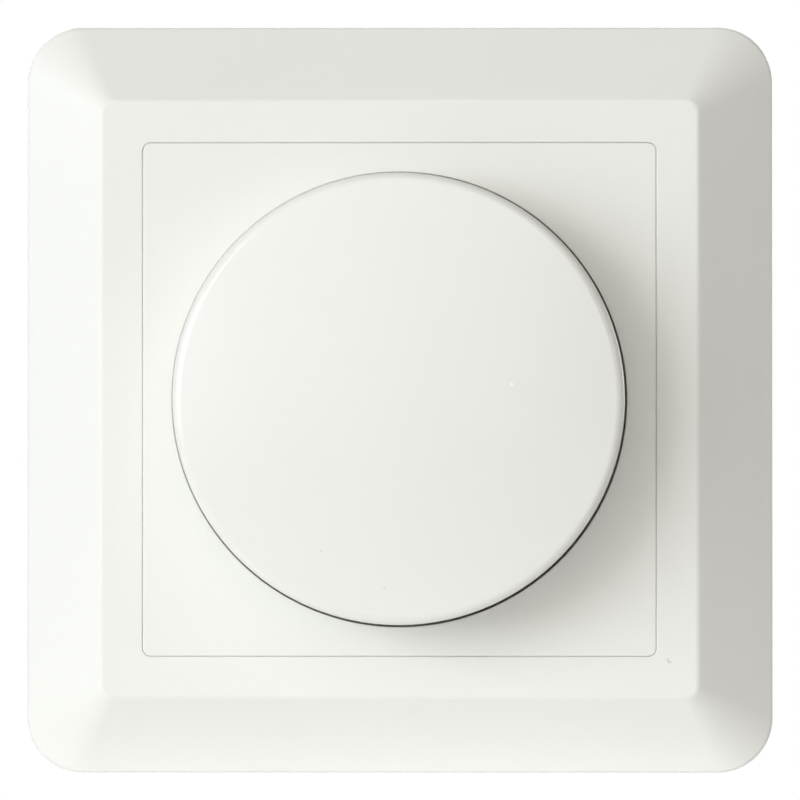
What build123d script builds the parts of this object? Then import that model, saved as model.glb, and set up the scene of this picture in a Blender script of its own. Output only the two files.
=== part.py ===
from build123d import *
from math import cos, radians, sin, sqrt, tan
import os

# Flush-mounted rotary dimmer with a push switch, all sizes in millimetres.
# Modelled with +Z out of the wall, +Y up and Z = 0 on the wall.
# The export turns it so that +Z is up and the front faces -Y.

# Knob
KNOB_DIAMETER = 48.52
KNOB_RISE = 12.8
KNOB_CROWN = 1.9
KNOB_DRAFT = 1.15
KNOB_EDGE_RADIUS = 1.1
KNOB_GATE = 0.3
KNOB_WALL = 1.8
KNOB_SINK = 0.9
KNOB_TRAVEL = 1.8
KNOB_RIBS = 8
KNOB_RIB_WALL = 1.0
HUB_DIAMETER = 11.0
HUB_SLIT = 0.8
SPRING_RING_WIRE = 0.8

# Centre plate
WELL_GAP = 0.28
WELL_REST = 0.5
WELL_WALL = 1.6
WELL_FLOOR = 1.8
PLATE_MARGIN = 3.135
PLATE_EDGE = 2.8
PLATE_SKIN = 2.0
PLATE_RIM = 1.2
PLATE_CORNER = 0.85
PLATE_GAP = 0.025
PLATE_ROUND = 0.12
LEDGE_CLEARANCE = 0.55

# Cover frame
LAND_WIDTH = 4.5
LAND_HEIGHT = 9.8
SLOPE_RUN = 8.3
SLOPE_ANGLE = 34.0
FRAME_CORNER = 6.0
RIDGE_CORNER = 1.4
RIDGE_ROUND = 0.8
RIM_ROUND = 0.5
FRAME_WALL = 2.0
SKIRT_WALL = 1.6
LEDGE_THICKNESS = 1.2
BEARING_RIB_WALL = 1.2

# Support plate
SUPPORT_THICKNESS = 1.2
SUPPORT_CLEARANCE = 3.0
SUPPORT_CORNER_CUT = 9.0
BOX_SCREW_SPACING = 60.0
BOX_SCREW_HOLE = 4.2
BEAD_RADIUS = 0.9
BEAD_DEPTH = 0.5
BEAD_LENGTH = 13.0
BEAD_INSET = 4.6
BEAD_SPREAD = 16.0

# Spreading claws beside the housing
CLAW_WIDTH = 8.0
CLAW_SHEET = 1.2
CLAW_LENGTH = 17.0
CLAW_TOOTH = 0.8
CLAW_PIN = 2.0
CLAW_DROP = 2.2
CLAW_OFFSET = 2.5
CLAW_SWING = 20.0
CLAW_SCREW = 3.0
CLAW_SCREW_LENGTH = 16.0
CLAW_HEAD = 5.1
CLAW_HEAD_HEIGHT = 1.6
CLAW_HEAD_ROUND = 0.4
CLAW_SLOT = 0.8
CLAW_SLOT_DEPTH = 0.9
EAR_THICKNESS = 1.2
EAR_GAP = 0.25

# Spindle, bush and nut
SPINDLE_DIAMETER = 6.0
SPINDLE_FLAT = 1.4
SPINDLE_PLAY = 0.05
BUSH_DIAMETER = 10.0
BUSH_FLANGE = 1.0
BUSH_END = 0.6
NUT_ACROSS = 14.0
NUT_THICKNESS = 2.2
WASHER_DIAMETER = 16.0
WASHER_THICKNESS = 0.5

# Potentiometer and push switch, one above the other on the spindle
POT_SIZE = 17.0
POT_SHEET = 0.8
ROTOR_THICKNESS = 3.0
SWITCH_WALL = 1.2
SWITCH_LEAD_INSET = 2.0
PLUNGER_DIAMETER = 9.0
PLUNGER_LENGTH = 4.0
SPRING_WIRE = 0.5
SPRING_TURNS = 4
SPRING_ROOM = 6.8
PLUNGER_RIM = 1.0
PLUNGER_RECESS = 1.2
PLUNGER_STEM = 2.4
STEM_END = 0.4
BRIDGE_SHEET = 0.5
BRIDGE_WIDTH = 2.4
BRIDGE_LIFT = 1.65
BRIDGE_OVERHANG = 0.6
CONTACT_SHEET = 1.2
CONTACT_WIDTH = 2.0
WIPER_SPAN = 4.0
WIPER_SHEET = 0.3
WIPER_FINGER = 0.8

# Circuit board and what stands on it
BOARD_THICKNESS = 1.6
SOLDER_GAP = 2.0
BAY_GAP = 1.0
PART_ROW = 5.3
PIN = 0.7
PIN_PLAY = 0.1
PIN_TAIL = 1.0
CHOKE_DIAMETER = 15.0
CHOKE_HOLE = 7.0
CHOKE_THICKNESS = 8.0
CHOKE_WIRE = 0.8
CHOKE_TURNS = 12
CHOKE_LEADS = 5.0
FILM_LENGTH = 17.5
FILM_WIDTH = 8.5
FILM_HEIGHT = 13.5
FILM_CORNER = 0.5
FILM_LEAD_INSET = 1.2
TIMING_WIDTH = 2.6
TIMING_HEIGHT = 6.5
TIMING_END = 1.0
TIMING_LEADS = 4.0
RESISTOR_DIAMETER = 2.4
RESISTOR_LEAD = 0.9
RESISTOR_SPAN = 7.4
RESISTOR_APART = 1.6
DIAC_DIAMETER = 2.0
DIAC_LEAD = 1.2
DIAC_SPAN = 5.4
FUSE_LENGTH = 20.0
FUSE_DIAMETER = 5.2
FUSE_LIFT = 4.5
FUSE_CAP = 5.0
FUSE_CAP_SHEET = 0.3
FUSE_GLASS = 0.7
CLIP_SHEET = 0.5
CLIP_WIDTH = 4.0
CLIP_INSET = 2.5
TRIAC_WIDTH = 10.2
TRIAC_BODY = 9.0
TRIAC_TAB = 6.4
TRIAC_THICKNESS = 4.5
TRIAC_STAND = 2.4
TRIAC_PITCH = 2.54
TRIAC_LEG_DEPTH = 2.6
TAB_SHEET = 1.3
STRAP_SHEET = 0.7
SINK_SHEET = 1.5
PAD_THICKNESS = 0.3
TRIMMER_SIZE = 7.0
TRIMMER_HEIGHT = 5.0
TRIMMER_SHAFT = 3.2
TRIMMER_FLOOR = 1.0
TRIMMER_SLOT = 0.7
TRIMMER_SLOT_DEPTH = 1.0
TRIMMER_LEADS = 5.0
TRIMMER_FRONT_ROW = 2.0
TRIMMER_BACK_ROW = 2.5

# Housing and terminals
HOUSING_WALL = 1.6
HOUSING_FLOOR = 1.8
HOUSING_CORNER = 10.0
HOUSING_ROUND = 1.2
SHELF_REACH = 1.4
SHELF_LENGTH = 4.0
FUNNEL_FLARE = 1.4
FUNNEL_CORNER = 0.6
BOSS_DIAMETER = 6.0
SCREW_DIAMETER = 2.5
SCREW_HEAD = 4.6
SCREW_HEAD_HEIGHT = 1.6
SCREW_DEPTH = 9.0
SCREW_ROOM = 1.0
RIVET_HEAD = 0.8
RIVET_GAP = 2.6
TERMINAL_PITCH = 9.6
TERMINAL_WIDTH = 6.8
TERMINAL_DEPTH = 8.0
TERMINAL_HEIGHT = 9.0
TERMINAL_LEAD_INSET = 2.0
WIRE_ENTRY = 3.4
HEAD_SPACE = 1.2
FIELD_WIDTH = 24.0
FIELD_HEIGHT = 15.0
FIELD_SINK = 0.3
EJECTOR_MARK = 4.4
EJECTOR_SINK = 0.2
EJECTOR_INSET = 5.2
VENT_COUNT = 6
VENT_WIDTH = 1.4
VENT_LENGTH = 10.0
VENT_PITCH = 3.6
STRIP_GAUGE = 11.0
STRIP_GROOVE = 1.6
TERMINAL_SCREW = 3.0
TERMINAL_HEAD = 5.2
TERMINAL_HEAD_HEIGHT = 2.0
SCREW_SLOT = 1.0
TAIL_WIDTH = 3.0
TAIL_SHEET = 0.8
TAIL_REACH = 2.8
CLAMP_WALL = 1.0

FIT = 0.05
CLEAR = 0.4

# Across the front, from the knob outwards
KNOB_RADIUS = KNOB_DIAMETER / 2
WELL_RADIUS = KNOB_RADIUS + WELL_GAP
CUP_RADIUS = WELL_RADIUS + WELL_WALL
PLATE_SIZE = 2 * (WELL_RADIUS + PLATE_MARGIN)
LEDGE_OPENING = 2 * (CUP_RADIUS + LEDGE_CLEARANCE)
WINDOW = PLATE_SIZE + 2 * PLATE_GAP
RIDGE_SIZE = WINDOW + 2 * LAND_WIDTH
FRAME_SIZE = RIDGE_SIZE + 2 * SLOPE_RUN
SUPPORT_SIZE = FRAME_SIZE - 2 * (FRAME_WALL + SUPPORT_CLEARANCE)

# Heights in front of the wall
EDGE_HEIGHT = LAND_HEIGHT - SLOPE_RUN * tan(radians(SLOPE_ANGLE))
LEDGE_TOP = LAND_HEIGHT - PLATE_EDGE
WELL_TOP = LAND_HEIGHT - KNOB_SINK - KNOB_TRAVEL - WELL_REST
WASHER_TOP = WELL_TOP + WASHER_THICKNESS
NUT_TOP = WASHER_TOP + NUT_THICKNESS
BUSH_TOP = NUT_TOP + BUSH_END
SKIRT_BOTTOM = LAND_HEIGHT - KNOB_SINK
CROWN = LAND_HEIGHT + KNOB_RISE
HUB_BOTTOM = BUSH_TOP + KNOB_TRAVEL + CLEAR
CAVITY_TOP = CROWN - KNOB_CROWN - KNOB_WALL
CAVITY_CROWN = CROWN - KNOB_WALL
RING_HEIGHT = HUB_BOTTOM + 2 * SPRING_RING_WIRE
RIB_BOTTOM = RING_HEIGHT + 2 * SPRING_RING_WIRE
BORE_TOP = CAVITY_TOP - KNOB_WALL / 2
SPINDLE_TOP = BORE_TOP - CLEAR

# Depths behind the wall
POT_FRONT = -BUSH_FLANGE
TRACK_BACK = POT_FRONT - 2 * POT_SHEET
COLLAR_BACK = POT_FRONT - FIT - POT_SHEET
ROTOR_FRONT = COLLAR_BACK - KNOB_TRAVEL - CLEAR
ROTOR_BACK = ROTOR_FRONT - ROTOR_THICKNESS
POT_BACK = ROTOR_BACK - CLEAR / 2
SWITCH_FRONT = POT_BACK
SPINDLE_END = SWITCH_FRONT - SWITCH_WALL
PLUNGER_FRONT = SPINDLE_END - FIT
PLUNGER_BACK = PLUNGER_FRONT - PLUNGER_LENGTH
SWITCH_FLOOR = PLUNGER_BACK - SPRING_ROOM
BOARD_TOP = SWITCH_FLOOR - SWITCH_WALL
BOARD_BOTTOM = BOARD_TOP - BOARD_THICKNESS
FLOOR_TOP = BOARD_BOTTOM - SOLDER_GAP
HOUSING_BACK = FLOOR_TOP - HOUSING_FLOOR

# Inside of the housing, worked out from what stands round the potentiometer
HALF_POT = POT_SIZE / 2
WOUND_THICKNESS = CHOKE_THICKNESS + 2 * CHOKE_WIRE
WOUND_RADIUS = CHOKE_DIAMETER / 2 + CHOKE_WIRE
INNER_X = HALF_POT + WOUND_THICKNESS + 2 * BAY_GAP
BOARD_EDGE = -(HALF_POT + PART_ROW)
TERMINAL_TOP = BOARD_EDGE - CLEAR
TERMINAL_BOTTOM = TERMINAL_TOP - TERMINAL_DEPTH
INNER_Y = -TERMINAL_BOTTOM + HEAD_SPACE
HOUSING_WIDTH = 2 * (INNER_X + HOUSING_WALL)
HOUSING_HEIGHT = 2 * (INNER_Y + HOUSING_WALL)
INNER_CORNER = HOUSING_CORNER - HOUSING_WALL

# Places on the board
CHOKE_X = INNER_X - BAY_GAP - WOUND_THICKNESS / 2
CHOKE_Y = WOUND_RADIUS - HALF_POT + 3 * BAY_GAP
CHOKE_Z = BOARD_TOP + WOUND_RADIUS + FIT
FILM_X = -FILM_LENGTH / 2 + HALF_POT / 2
FILM_Y = INNER_Y - BAY_GAP - FILM_WIDTH / 2
FUSE_X = -(INNER_X - 2 * BAY_GAP - FUSE_DIAMETER / 2)
FUSE_Z = BOARD_TOP + FUSE_LIFT
SINK_BACK = INNER_Y - 3 * BAY_GAP
PAD_BACK = SINK_BACK - SINK_SHEET
TRIAC_BACK = PAD_BACK - PAD_THICKNESS
TRIAC_X = FILM_X + FILM_LENGTH / 2 + BAY_GAP + TRIAC_WIDTH / 2 + CLEAR
TRIAC_LOW = BOARD_TOP + TRIAC_STAND
TRIAC_TOP = TRIAC_LOW + TRIAC_BODY + TRIAC_TAB
TRIMMER_X = INNER_X - BAY_GAP - TRIMMER_SIZE / 2
TRIMMER_Y = CHOKE_Y - WOUND_RADIUS - BAY_GAP / 2 - TRIMMER_SIZE / 2
RIVET_Y = TRIAC_BACK - TRIAC_THICKNESS - RIVET_GAP
BOSS_X = INNER_X - BOSS_DIAMETER / 2
BOSS_Y = INNER_Y - 2 * BOSS_DIAMETER / 2 - CLEAR / 2
BOSSES = ((-BOSS_X, BOSS_Y), (-BOSS_X, -BOSS_Y), (BOSS_X, -BOSS_Y))
TERMINALS = (-TERMINAL_PITCH, 0, TERMINAL_PITCH)
TERMINAL_MID = (TERMINAL_TOP + TERMINAL_BOTTOM) / 2
TERMINAL_SCREW_Z = FLOOR_TOP + TERMINAL_HEIGHT / 2
ROW_Y = HALF_POT + PART_ROW / 2
EAR_X = HOUSING_WIDTH / 2 + EAR_GAP
CHEEK_RADIUS = CLAW_PIN / 2 + CLEAR / 2
CLAW_PIVOT_X = EAR_X + CHEEK_RADIUS
CLAW_PIVOT_Z = -CLAW_DROP
CLAW_SCREW_X = CLAW_PIVOT_X + CLAW_OFFSET
CLAW_ARM_X = CLAW_SCREW_X + CLAW_SCREW / 2 + CLEAR
CLAW_WEB_Z = CLAW_PIVOT_Z - CLAW_PIN / 2 - CLAW_SHEET

# Lead positions, shared by each component and the holes in the board
FILM_PIN_X = FILM_LENGTH / 2 - FILM_LEAD_INSET
FILM_PINS = ((FILM_X - FILM_PIN_X, FILM_Y), (FILM_X + FILM_PIN_X, FILM_Y))
TRIAC_PINS = tuple((TRIAC_X + side * TRIAC_PITCH, TRIAC_BACK - TRIAC_LEG_DEPTH) for side in (-1, 0, 1))
CHOKE_PINS = ((CHOKE_X, CHOKE_Y - CHOKE_LEADS / 2), (CHOKE_X, CHOKE_Y + CHOKE_LEADS / 2))
RESISTOR_NEAR = RESISTOR_APART / 2
RESISTOR_FAR = RESISTOR_NEAR + RESISTOR_SPAN
RESISTOR_PINS = tuple((x, ROW_Y) for x in (-RESISTOR_FAR, -RESISTOR_NEAR, RESISTOR_NEAR, RESISTOR_FAR))
DIAC_PINS = tuple((TERMINAL_PITCH / 2 + side * DIAC_SPAN / 2, -ROW_Y) for side in (-1, 1))
TIMING_PINS = tuple((-TERMINAL_PITCH / 2 + side * TIMING_LEADS / 2, -ROW_Y) for side in (-1, 1))
TRIMMER_PINS = ((TRIMMER_X - TRIMMER_LEADS / 2, TRIMMER_Y - TRIMMER_FRONT_ROW),
                (TRIMMER_X + TRIMMER_LEADS / 2, TRIMMER_Y - TRIMMER_FRONT_ROW),
                (TRIMMER_X, TRIMMER_Y + TRIMMER_BACK_ROW))
SWITCH_PINS = ((-HALF_POT + SWITCH_LEAD_INSET, 0), (HALF_POT - SWITCH_LEAD_INSET, 0))
CLIP_Y = FUSE_LENGTH / 2 - CLIP_INSET
CLIP_PINS = ((FUSE_X, -CLIP_Y), (FUSE_X, CLIP_Y))
TERMINAL_PINS = tuple((x, BOARD_EDGE + TERMINAL_LEAD_INSET) for x in TERMINALS)
BOARD_PINS = (FILM_PINS + TRIAC_PINS + CHOKE_PINS + RESISTOR_PINS + DIAC_PINS + TIMING_PINS
              + TRIMMER_PINS + SWITCH_PINS + CLIP_PINS + TERMINAL_PINS)


def block(x0, x1, y0, y1, z0, z1):
    """A box between two corners."""
    return Pos((x0 + x1) / 2, (y0 + y1) / 2, (z0 + z1) / 2) * Box(x1 - x0, y1 - y0, z1 - z0)


def post(x, y, radius, z0, z1):
    """A round post standing along Z."""
    return Pos(x, y, (z0 + z1) / 2) * Cylinder(radius, z1 - z0)


def slab(width, height, corner, z0, z1):
    """A square prism with rounded corners."""
    return extrude(Pos(0, 0, z0) * RectangleRounded(width, height, corner), z1 - z0)


def taper(width0, corner0, z0, width1, corner1, z1):
    """A straight-sided taper between two rounded squares."""
    low = Pos(0, 0, z0) * RectangleRounded(width0, width0, corner0)
    high = Pos(0, 0, z1) * RectangleRounded(width1, width1, corner1)
    return loft([low, high], ruled=True)


def turned(points):
    """A solid of revolution about Z from points (radius, height)."""
    outline = Polyline([(r, 0, z) for r, z in points], close=True)
    return revolve(make_face(outline), Axis.Z)


def pins(points, top=BOARD_TOP):
    """Square leads through the board."""
    return [block(x - PIN / 2, x + PIN / 2, y - PIN / 2, y + PIN / 2, BOARD_BOTTOM - PIN_TAIL, top)
            for x, y in points]


def edges_at(shape, height, reach):
    """Edges lying flat at one height whose middles are within reach of the axis."""
    flat = [e for e in shape.edges() if abs(e.bounding_box().min.Z - height) < 0.01
            and abs(e.bounding_box().max.Z - height) < 0.01]
    return [e for e in flat if max(abs((e @ 0.5).X), abs((e @ 0.5).Y)) < reach]


def d_bore(radius, flat, z0, z1):
    """A round bore with one flat."""
    return post(0, 0, radius, z0, z1) - block(-radius, radius, radius - flat, 2 * radius, z0, z1)


def make_cover_frame():
    """Moulded surround: low wall, sloped border, flat land, window ledge and bearing rib."""
    half_slope = tan(radians(SLOPE_ANGLE))
    inner = FRAME_SIZE - 2 * FRAME_WALL
    inner_corner = FRAME_CORNER - FRAME_WALL
    drop = FRAME_WALL / cos(radians(SLOPE_ANGLE))
    inner_edge = EDGE_HEIGHT + FRAME_WALL * half_slope - drop
    inner_top = LAND_HEIGHT - FRAME_WALL
    inner_ridge = inner - 2 * (inner_top - inner_edge) / half_slope
    outside = slab(FRAME_SIZE, FRAME_SIZE, FRAME_CORNER, 0, EDGE_HEIGHT)
    outside += taper(FRAME_SIZE, FRAME_CORNER, EDGE_HEIGHT, RIDGE_SIZE, RIDGE_CORNER, LAND_HEIGHT)
    outside = fillet(edges_at(outside, LAND_HEIGHT, FRAME_SIZE), RIDGE_ROUND)
    outside = fillet(edges_at(outside, EDGE_HEIGHT, FRAME_SIZE), RIM_ROUND)
    hollow = slab(inner, inner, inner_corner, 0, inner_edge)
    hollow += taper(inner, inner_corner, inner_edge, inner_ridge, RIDGE_CORNER, inner_top)
    skirt_size = WINDOW + 2 * SKIRT_WALL
    skirt = slab(skirt_size, skirt_size, PLATE_CORNER + SKIRT_WALL, LEDGE_TOP - LEDGE_THICKNESS, LAND_HEIGHT)
    rib_size = SUPPORT_SIZE - 2 * PLATE_RIM
    rib = slab(SUPPORT_SIZE, SUPPORT_SIZE, FRAME_CORNER - FRAME_WALL, SUPPORT_THICKNESS, LAND_HEIGHT)
    rib -= slab(rib_size, rib_size, RIDGE_CORNER, SUPPORT_THICKNESS, LAND_HEIGHT)
    rib -= support_corner_cuts(SUPPORT_THICKNESS, LAND_HEIGHT, BEARING_RIB_WALL)
    frame = outside - (hollow - skirt - rib)
    frame -= slab(WINDOW, WINDOW, PLATE_CORNER + PLATE_GAP, LEDGE_TOP, LAND_HEIGHT)
    frame -= slab(LEDGE_OPENING, LEDGE_OPENING, PLATE_CORNER, 0, LEDGE_TOP)
    return fillet(edges_at(frame, LAND_HEIGHT, WINDOW / 2 + FIT), PLATE_ROUND)


def support_corner_cuts(z0, z1, inset=0.0):
    """The four corners taken off the support plate at 45 degrees."""
    reach = SUPPORT_SIZE - SUPPORT_CORNER_CUT - inset
    side = SUPPORT_SIZE * 2
    corner = Pos(0, 0, (z0 + z1) / 2) * Rot(0, 0, 45)
    return [corner * Rot(0, 0, 90 * k) * Pos(reach / sqrt(2) + side / 2, 0, 0) * Box(side, side, z1 - z0)
            for k in range(4)]


def make_centre_plate():
    """Square plate with a round well for the knob and a collar over the bush."""
    plate = slab(PLATE_SIZE, PLATE_SIZE, PLATE_CORNER, LEDGE_TOP, LAND_HEIGHT)
    plate = fillet(edges_at(plate, LAND_HEIGHT, PLATE_SIZE), PLATE_ROUND)
    pocket_size = PLATE_SIZE - 2 * PLATE_RIM
    pocket = slab(pocket_size, pocket_size, PLATE_CORNER, LEDGE_TOP, LAND_HEIGHT - PLATE_SKIN)
    plate -= pocket - post(0, 0, CUP_RADIUS, LEDGE_TOP, LAND_HEIGHT)
    plate += post(0, 0, CUP_RADIUS, WELL_TOP - WELL_FLOOR, LEDGE_TOP)
    plate -= post(0, 0, WELL_RADIUS, WELL_TOP, LAND_HEIGHT)
    well_rim = [e for e in edges_at(plate, LAND_HEIGHT, PLATE_SIZE) if e.geom_type == GeomType.CIRCLE
                and abs(e.radius - WELL_RADIUS) < FIT]
    plate = fillet(well_rim, WELL_GAP / 2)
    plate += post(0, 0, WASHER_DIAMETER / 2, SUPPORT_THICKNESS + CLEAR, WELL_TOP - WELL_FLOOR)
    return plate - post(0, 0, BUSH_DIAMETER / 2 + CLEAR / 2, 0, LAND_HEIGHT)


def knob_radius_at(height):
    """Outer radius of the drafted knob wall at a height."""
    return KNOB_RADIUS - (height - LAND_HEIGHT) * tan(radians(KNOB_DRAFT))


def crowned(points, crown):
    """Outline from points (radius, height) closed by a crown arc and a small flat at the axis."""
    rim, base = points[-1]
    rise = crown - base
    ball = (rim * rim + rise * rise) / (2 * rise)
    half_height = crown - ball + sqrt(ball * ball - rim * rim / 4)
    flat = crown - ball + sqrt(ball * ball - KNOB_GATE * KNOB_GATE)
    side = Polyline([(KNOB_GATE, 0, flat), (0, 0, flat)] + [(r, 0, z) for r, z in points])
    return make_face(side + ThreePointArc((rim, 0, base), (rim / 2, 0, half_height), (KNOB_GATE, 0, flat)))


def make_rotary_knob():
    """Hollow cap: drafted skirt, rounded rim, crowned face, split hub and ribs."""
    rim_height = CROWN - KNOB_CROWN
    rim = knob_radius_at(rim_height)
    foot = knob_radius_at(SKIRT_BOTTOM)
    outline = crowned([(0, SKIRT_BOTTOM), (foot, SKIRT_BOTTOM), (rim, rim_height)], CROWN)
    corner = outline.vertices().sort_by_distance((rim, 0, rim_height))[0]
    outline = fillet(corner, KNOB_EDGE_RADIUS)
    knob = revolve(outline, Axis.Z)
    inner_foot = foot - KNOB_WALL
    inner_rim = rim - KNOB_WALL
    bevel = KNOB_EDGE_RADIUS / 2
    hollow = crowned([(0, SKIRT_BOTTOM), (inner_foot, SKIRT_BOTTOM), (inner_rim, CAVITY_TOP - bevel),
                      (inner_rim - bevel, CAVITY_TOP)], CAVITY_CROWN)
    knob -= revolve(hollow, Axis.Z)
    hub_radius = HUB_DIAMETER / 2
    hub = post(0, 0, hub_radius, HUB_BOTTOM, CAVITY_CROWN + KNOB_WALL / 2)
    groove = hub_radius - SPRING_RING_WIRE / 2
    band = SPRING_RING_WIRE / 2 + FIT
    hub -= post(0, 0, hub_radius + 1, RING_HEIGHT - band, RING_HEIGHT + band) - post(
        0, 0, groove, RING_HEIGHT - band, RING_HEIGHT + band)
    hub -= block(-HUB_SLIT / 2, HUB_SLIT / 2, -hub_radius, hub_radius, HUB_BOTTOM, RIB_BOTTOM)
    knob += hub
    for k in range(KNOB_RIBS):
        rib = block(hub_radius - CLEAR, inner_rim + KNOB_WALL / 4, -KNOB_RIB_WALL / 2, KNOB_RIB_WALL / 2,
                    RIB_BOTTOM, CAVITY_CROWN)
        knob += Rot(0, 0, 360 / KNOB_RIBS * (k + 0.5)) * rib
    bore = SPINDLE_DIAMETER / 2 + SPINDLE_PLAY
    return knob - d_bore(bore, SPINDLE_FLAT, HUB_BOTTOM, BORE_TOP)


def make_knob_spring_ring():
    """Open spring ring that grips the split hub."""
    wire = SPRING_RING_WIRE / 2
    radius = HUB_DIAMETER / 2 + FIT
    section = Plane.XZ * Pos(radius, RING_HEIGHT) * Circle(wire)
    return Rot(0, 0, 115) * revolve(section, Axis.Z, revolution_arc=310)


def make_spindle():
    """D shaft with a stop collar under the bush."""
    radius = SPINDLE_DIAMETER / 2
    shaft = post(0, 0, radius, SPINDLE_END, SPINDLE_TOP)
    shaft = chamfer(shaft.edges().sort_by(Axis.Z)[-1:], 0.4)
    flat = radius - SPINDLE_FLAT
    shaft -= block(-radius, radius, flat, radius, BUSH_TOP + KNOB_TRAVEL, SPINDLE_TOP)
    shaft -= block(-radius, radius, flat, radius, SPINDLE_END, COLLAR_BACK)
    collar = radius + 1.0
    return shaft + post(0, 0, collar, COLLAR_BACK, POT_FRONT - FIT)


def make_spindle_nut():
    """Hexagon nut with chamfered corners."""
    outer = NUT_ACROSS / 2
    nut = extrude(Pos(0, 0, WASHER_TOP) * RegularPolygon(outer, 6, major_radius=False), NUT_THICKNESS)
    corner = outer / cos(radians(30))
    bevel = corner - outer
    nut &= turned([(0, WASHER_TOP), (outer, WASHER_TOP), (corner + FIT, WASHER_TOP + bevel),
                   (corner + FIT, NUT_TOP - bevel), (outer, NUT_TOP), (0, NUT_TOP)])
    return nut - post(0, 0, BUSH_DIAMETER / 2 + FIT, WASHER_TOP, NUT_TOP)


def make_nut_washer():
    """Plain washer under the nut."""
    washer = post(0, 0, WASHER_DIAMETER / 2, WELL_TOP, WASHER_TOP)
    return washer - post(0, 0, BUSH_DIAMETER / 2 + FIT, WELL_TOP, WASHER_TOP)


def make_support_plate():
    """Stamped steel plate with box screw holes, claw lugs, stiffening beads and access holes."""
    plate = slab(SUPPORT_SIZE, SUPPORT_SIZE, RIDGE_CORNER, 0, SUPPORT_THICKNESS)
    plate -= support_corner_cuts(0, SUPPORT_THICKNESS)
    upright = plate.edges().filter_by(Axis.Z)
    plate = fillet(upright, RIDGE_CORNER)
    half_pitch = BOX_SCREW_SPACING / 2
    hole = BOX_SCREW_HOLE / 2
    for side in (-1, 1):
        plate -= post(0, side * half_pitch, hole, 0, SUPPORT_THICKNESS)
        plate -= post(side * CLAW_SCREW_X, 0, CLAW_SCREW / 2 + CLEAR / 2, 0, SUPPORT_THICKNESS)
        for ear in claw_ears():
            plate += Rot(0, 0, 90 - 90 * side) * ear
    for side_x in (-1, 1):
        for side_y in (-1, 1):
            groove = bead(side_x * (SUPPORT_SIZE / 2 - BEAD_INSET), side_y * BEAD_SPREAD)
            plate = plate + Pos(0, 0, SUPPORT_THICKNESS) * groove - groove
    for x, y in BOSSES:
        plate -= post(x, y, SCREW_DIAMETER / 2 + CLEAR / 2, 0, SUPPORT_THICKNESS)
    plate -= post(TRIMMER_X, TRIMMER_Y, TRIMMER_SHAFT / 2 + CLEAR, 0, SUPPORT_THICKNESS)
    plate -= post(TRIAC_X, RIVET_Y, SCREW_DIAMETER / 2 + FIT, 0, SUPPORT_THICKNESS)
    return plate - post(0, 0, BUSH_DIAMETER / 2 + FIT, 0, SUPPORT_THICKNESS)


def bead(x, y):
    """Round-ended bar that stands BEAD_DEPTH proud of Z = 0."""
    place = Pos(x, y, BEAD_DEPTH - BEAD_RADIUS)
    half = BEAD_LENGTH / 2 - BEAD_RADIUS
    bar = Rot(90, 0, 0) * Cylinder(BEAD_RADIUS, 2 * half)
    bar += Pos(0, half, 0) * Sphere(BEAD_RADIUS)
    bar += Pos(0, -half, 0) * Sphere(BEAD_RADIUS)
    return place * bar


def claw_ears():
    """Two lugs bent back from the support plate that carry one claw."""
    ears = []
    width = 2 * CLAW_PIN
    back = CLAW_PIVOT_Z - width / 2
    for side in (-1, 1):
        near = CLAW_WIDTH / 2 + EAR_GAP
        y0, y1 = sorted((side * near, side * (near + EAR_THICKNESS)))
        ear = block(EAR_X, EAR_X + width, y0, y1, back, 0)
        ears.append(ear - claw_pin(CLAW_PIN / 2 + FIT, y0, y1))
    return ears


def claw_pin(radius, y0, y1):
    """Round pin along Y on the pivot line of the right claw."""
    return Pos(CLAW_PIVOT_X, (y0 + y1) / 2, CLAW_PIVOT_Z) * Rot(90, 0, 0) * Cylinder(radius, y1 - y0)


def make_claw():
    """Right claw: cheeks with pivot pins, a slotted web for the screw, an arm and two teeth."""
    half = CLAW_WIDTH / 2
    outer = CLAW_ARM_X + CLAW_SHEET
    web_top = CLAW_WEB_Z + CLAW_SHEET
    web = block(EAR_X + CLEAR / 2, outer, -half, half, CLAW_WEB_Z, web_top)
    swing = radians(CLAW_SWING)
    lever = CLAW_PIVOT_Z - CLAW_WEB_Z
    shift = lever * sin(swing) - CLAW_OFFSET * (1 - cos(swing))
    slot_half = CLAW_SCREW / 2 + CLEAR / 2
    web -= block(CLAW_SCREW_X - slot_half - shift - CLEAR, CLAW_SCREW_X + slot_half, -slot_half, slot_half,
                 CLAW_WEB_Z, web_top)
    claw = web
    for side in (-1, 1):
        y0, y1 = sorted((side * (half - EAR_THICKNESS), side * half))
        cheek = block(EAR_X + CLEAR / 2, EAR_X + 2 * CLAW_PIN, y0, y1, CLAW_WEB_Z, CLAW_PIVOT_Z)
        claw += cheek + claw_pin(CHEEK_RADIUS, y0, y1)
    reach = half + EAR_GAP + EAR_THICKNESS
    pivot = claw_pin(CLAW_PIN / 2, -reach, -half + FIT) + claw_pin(CLAW_PIN / 2, half - FIT, reach)
    end = web_top - CLAW_LENGTH
    arm = block(CLAW_ARM_X, outer, -half, half, end, web_top)
    tooth = block(CLAW_ARM_X, outer + CLAW_TOOTH, -half, half, end, end + CLAW_SHEET)
    tooth -= block(outer, outer + 2 * CLAW_TOOTH, -half / 3, half / 3, end, end + CLAW_SHEET)
    return claw + pivot + arm + tooth


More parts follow.
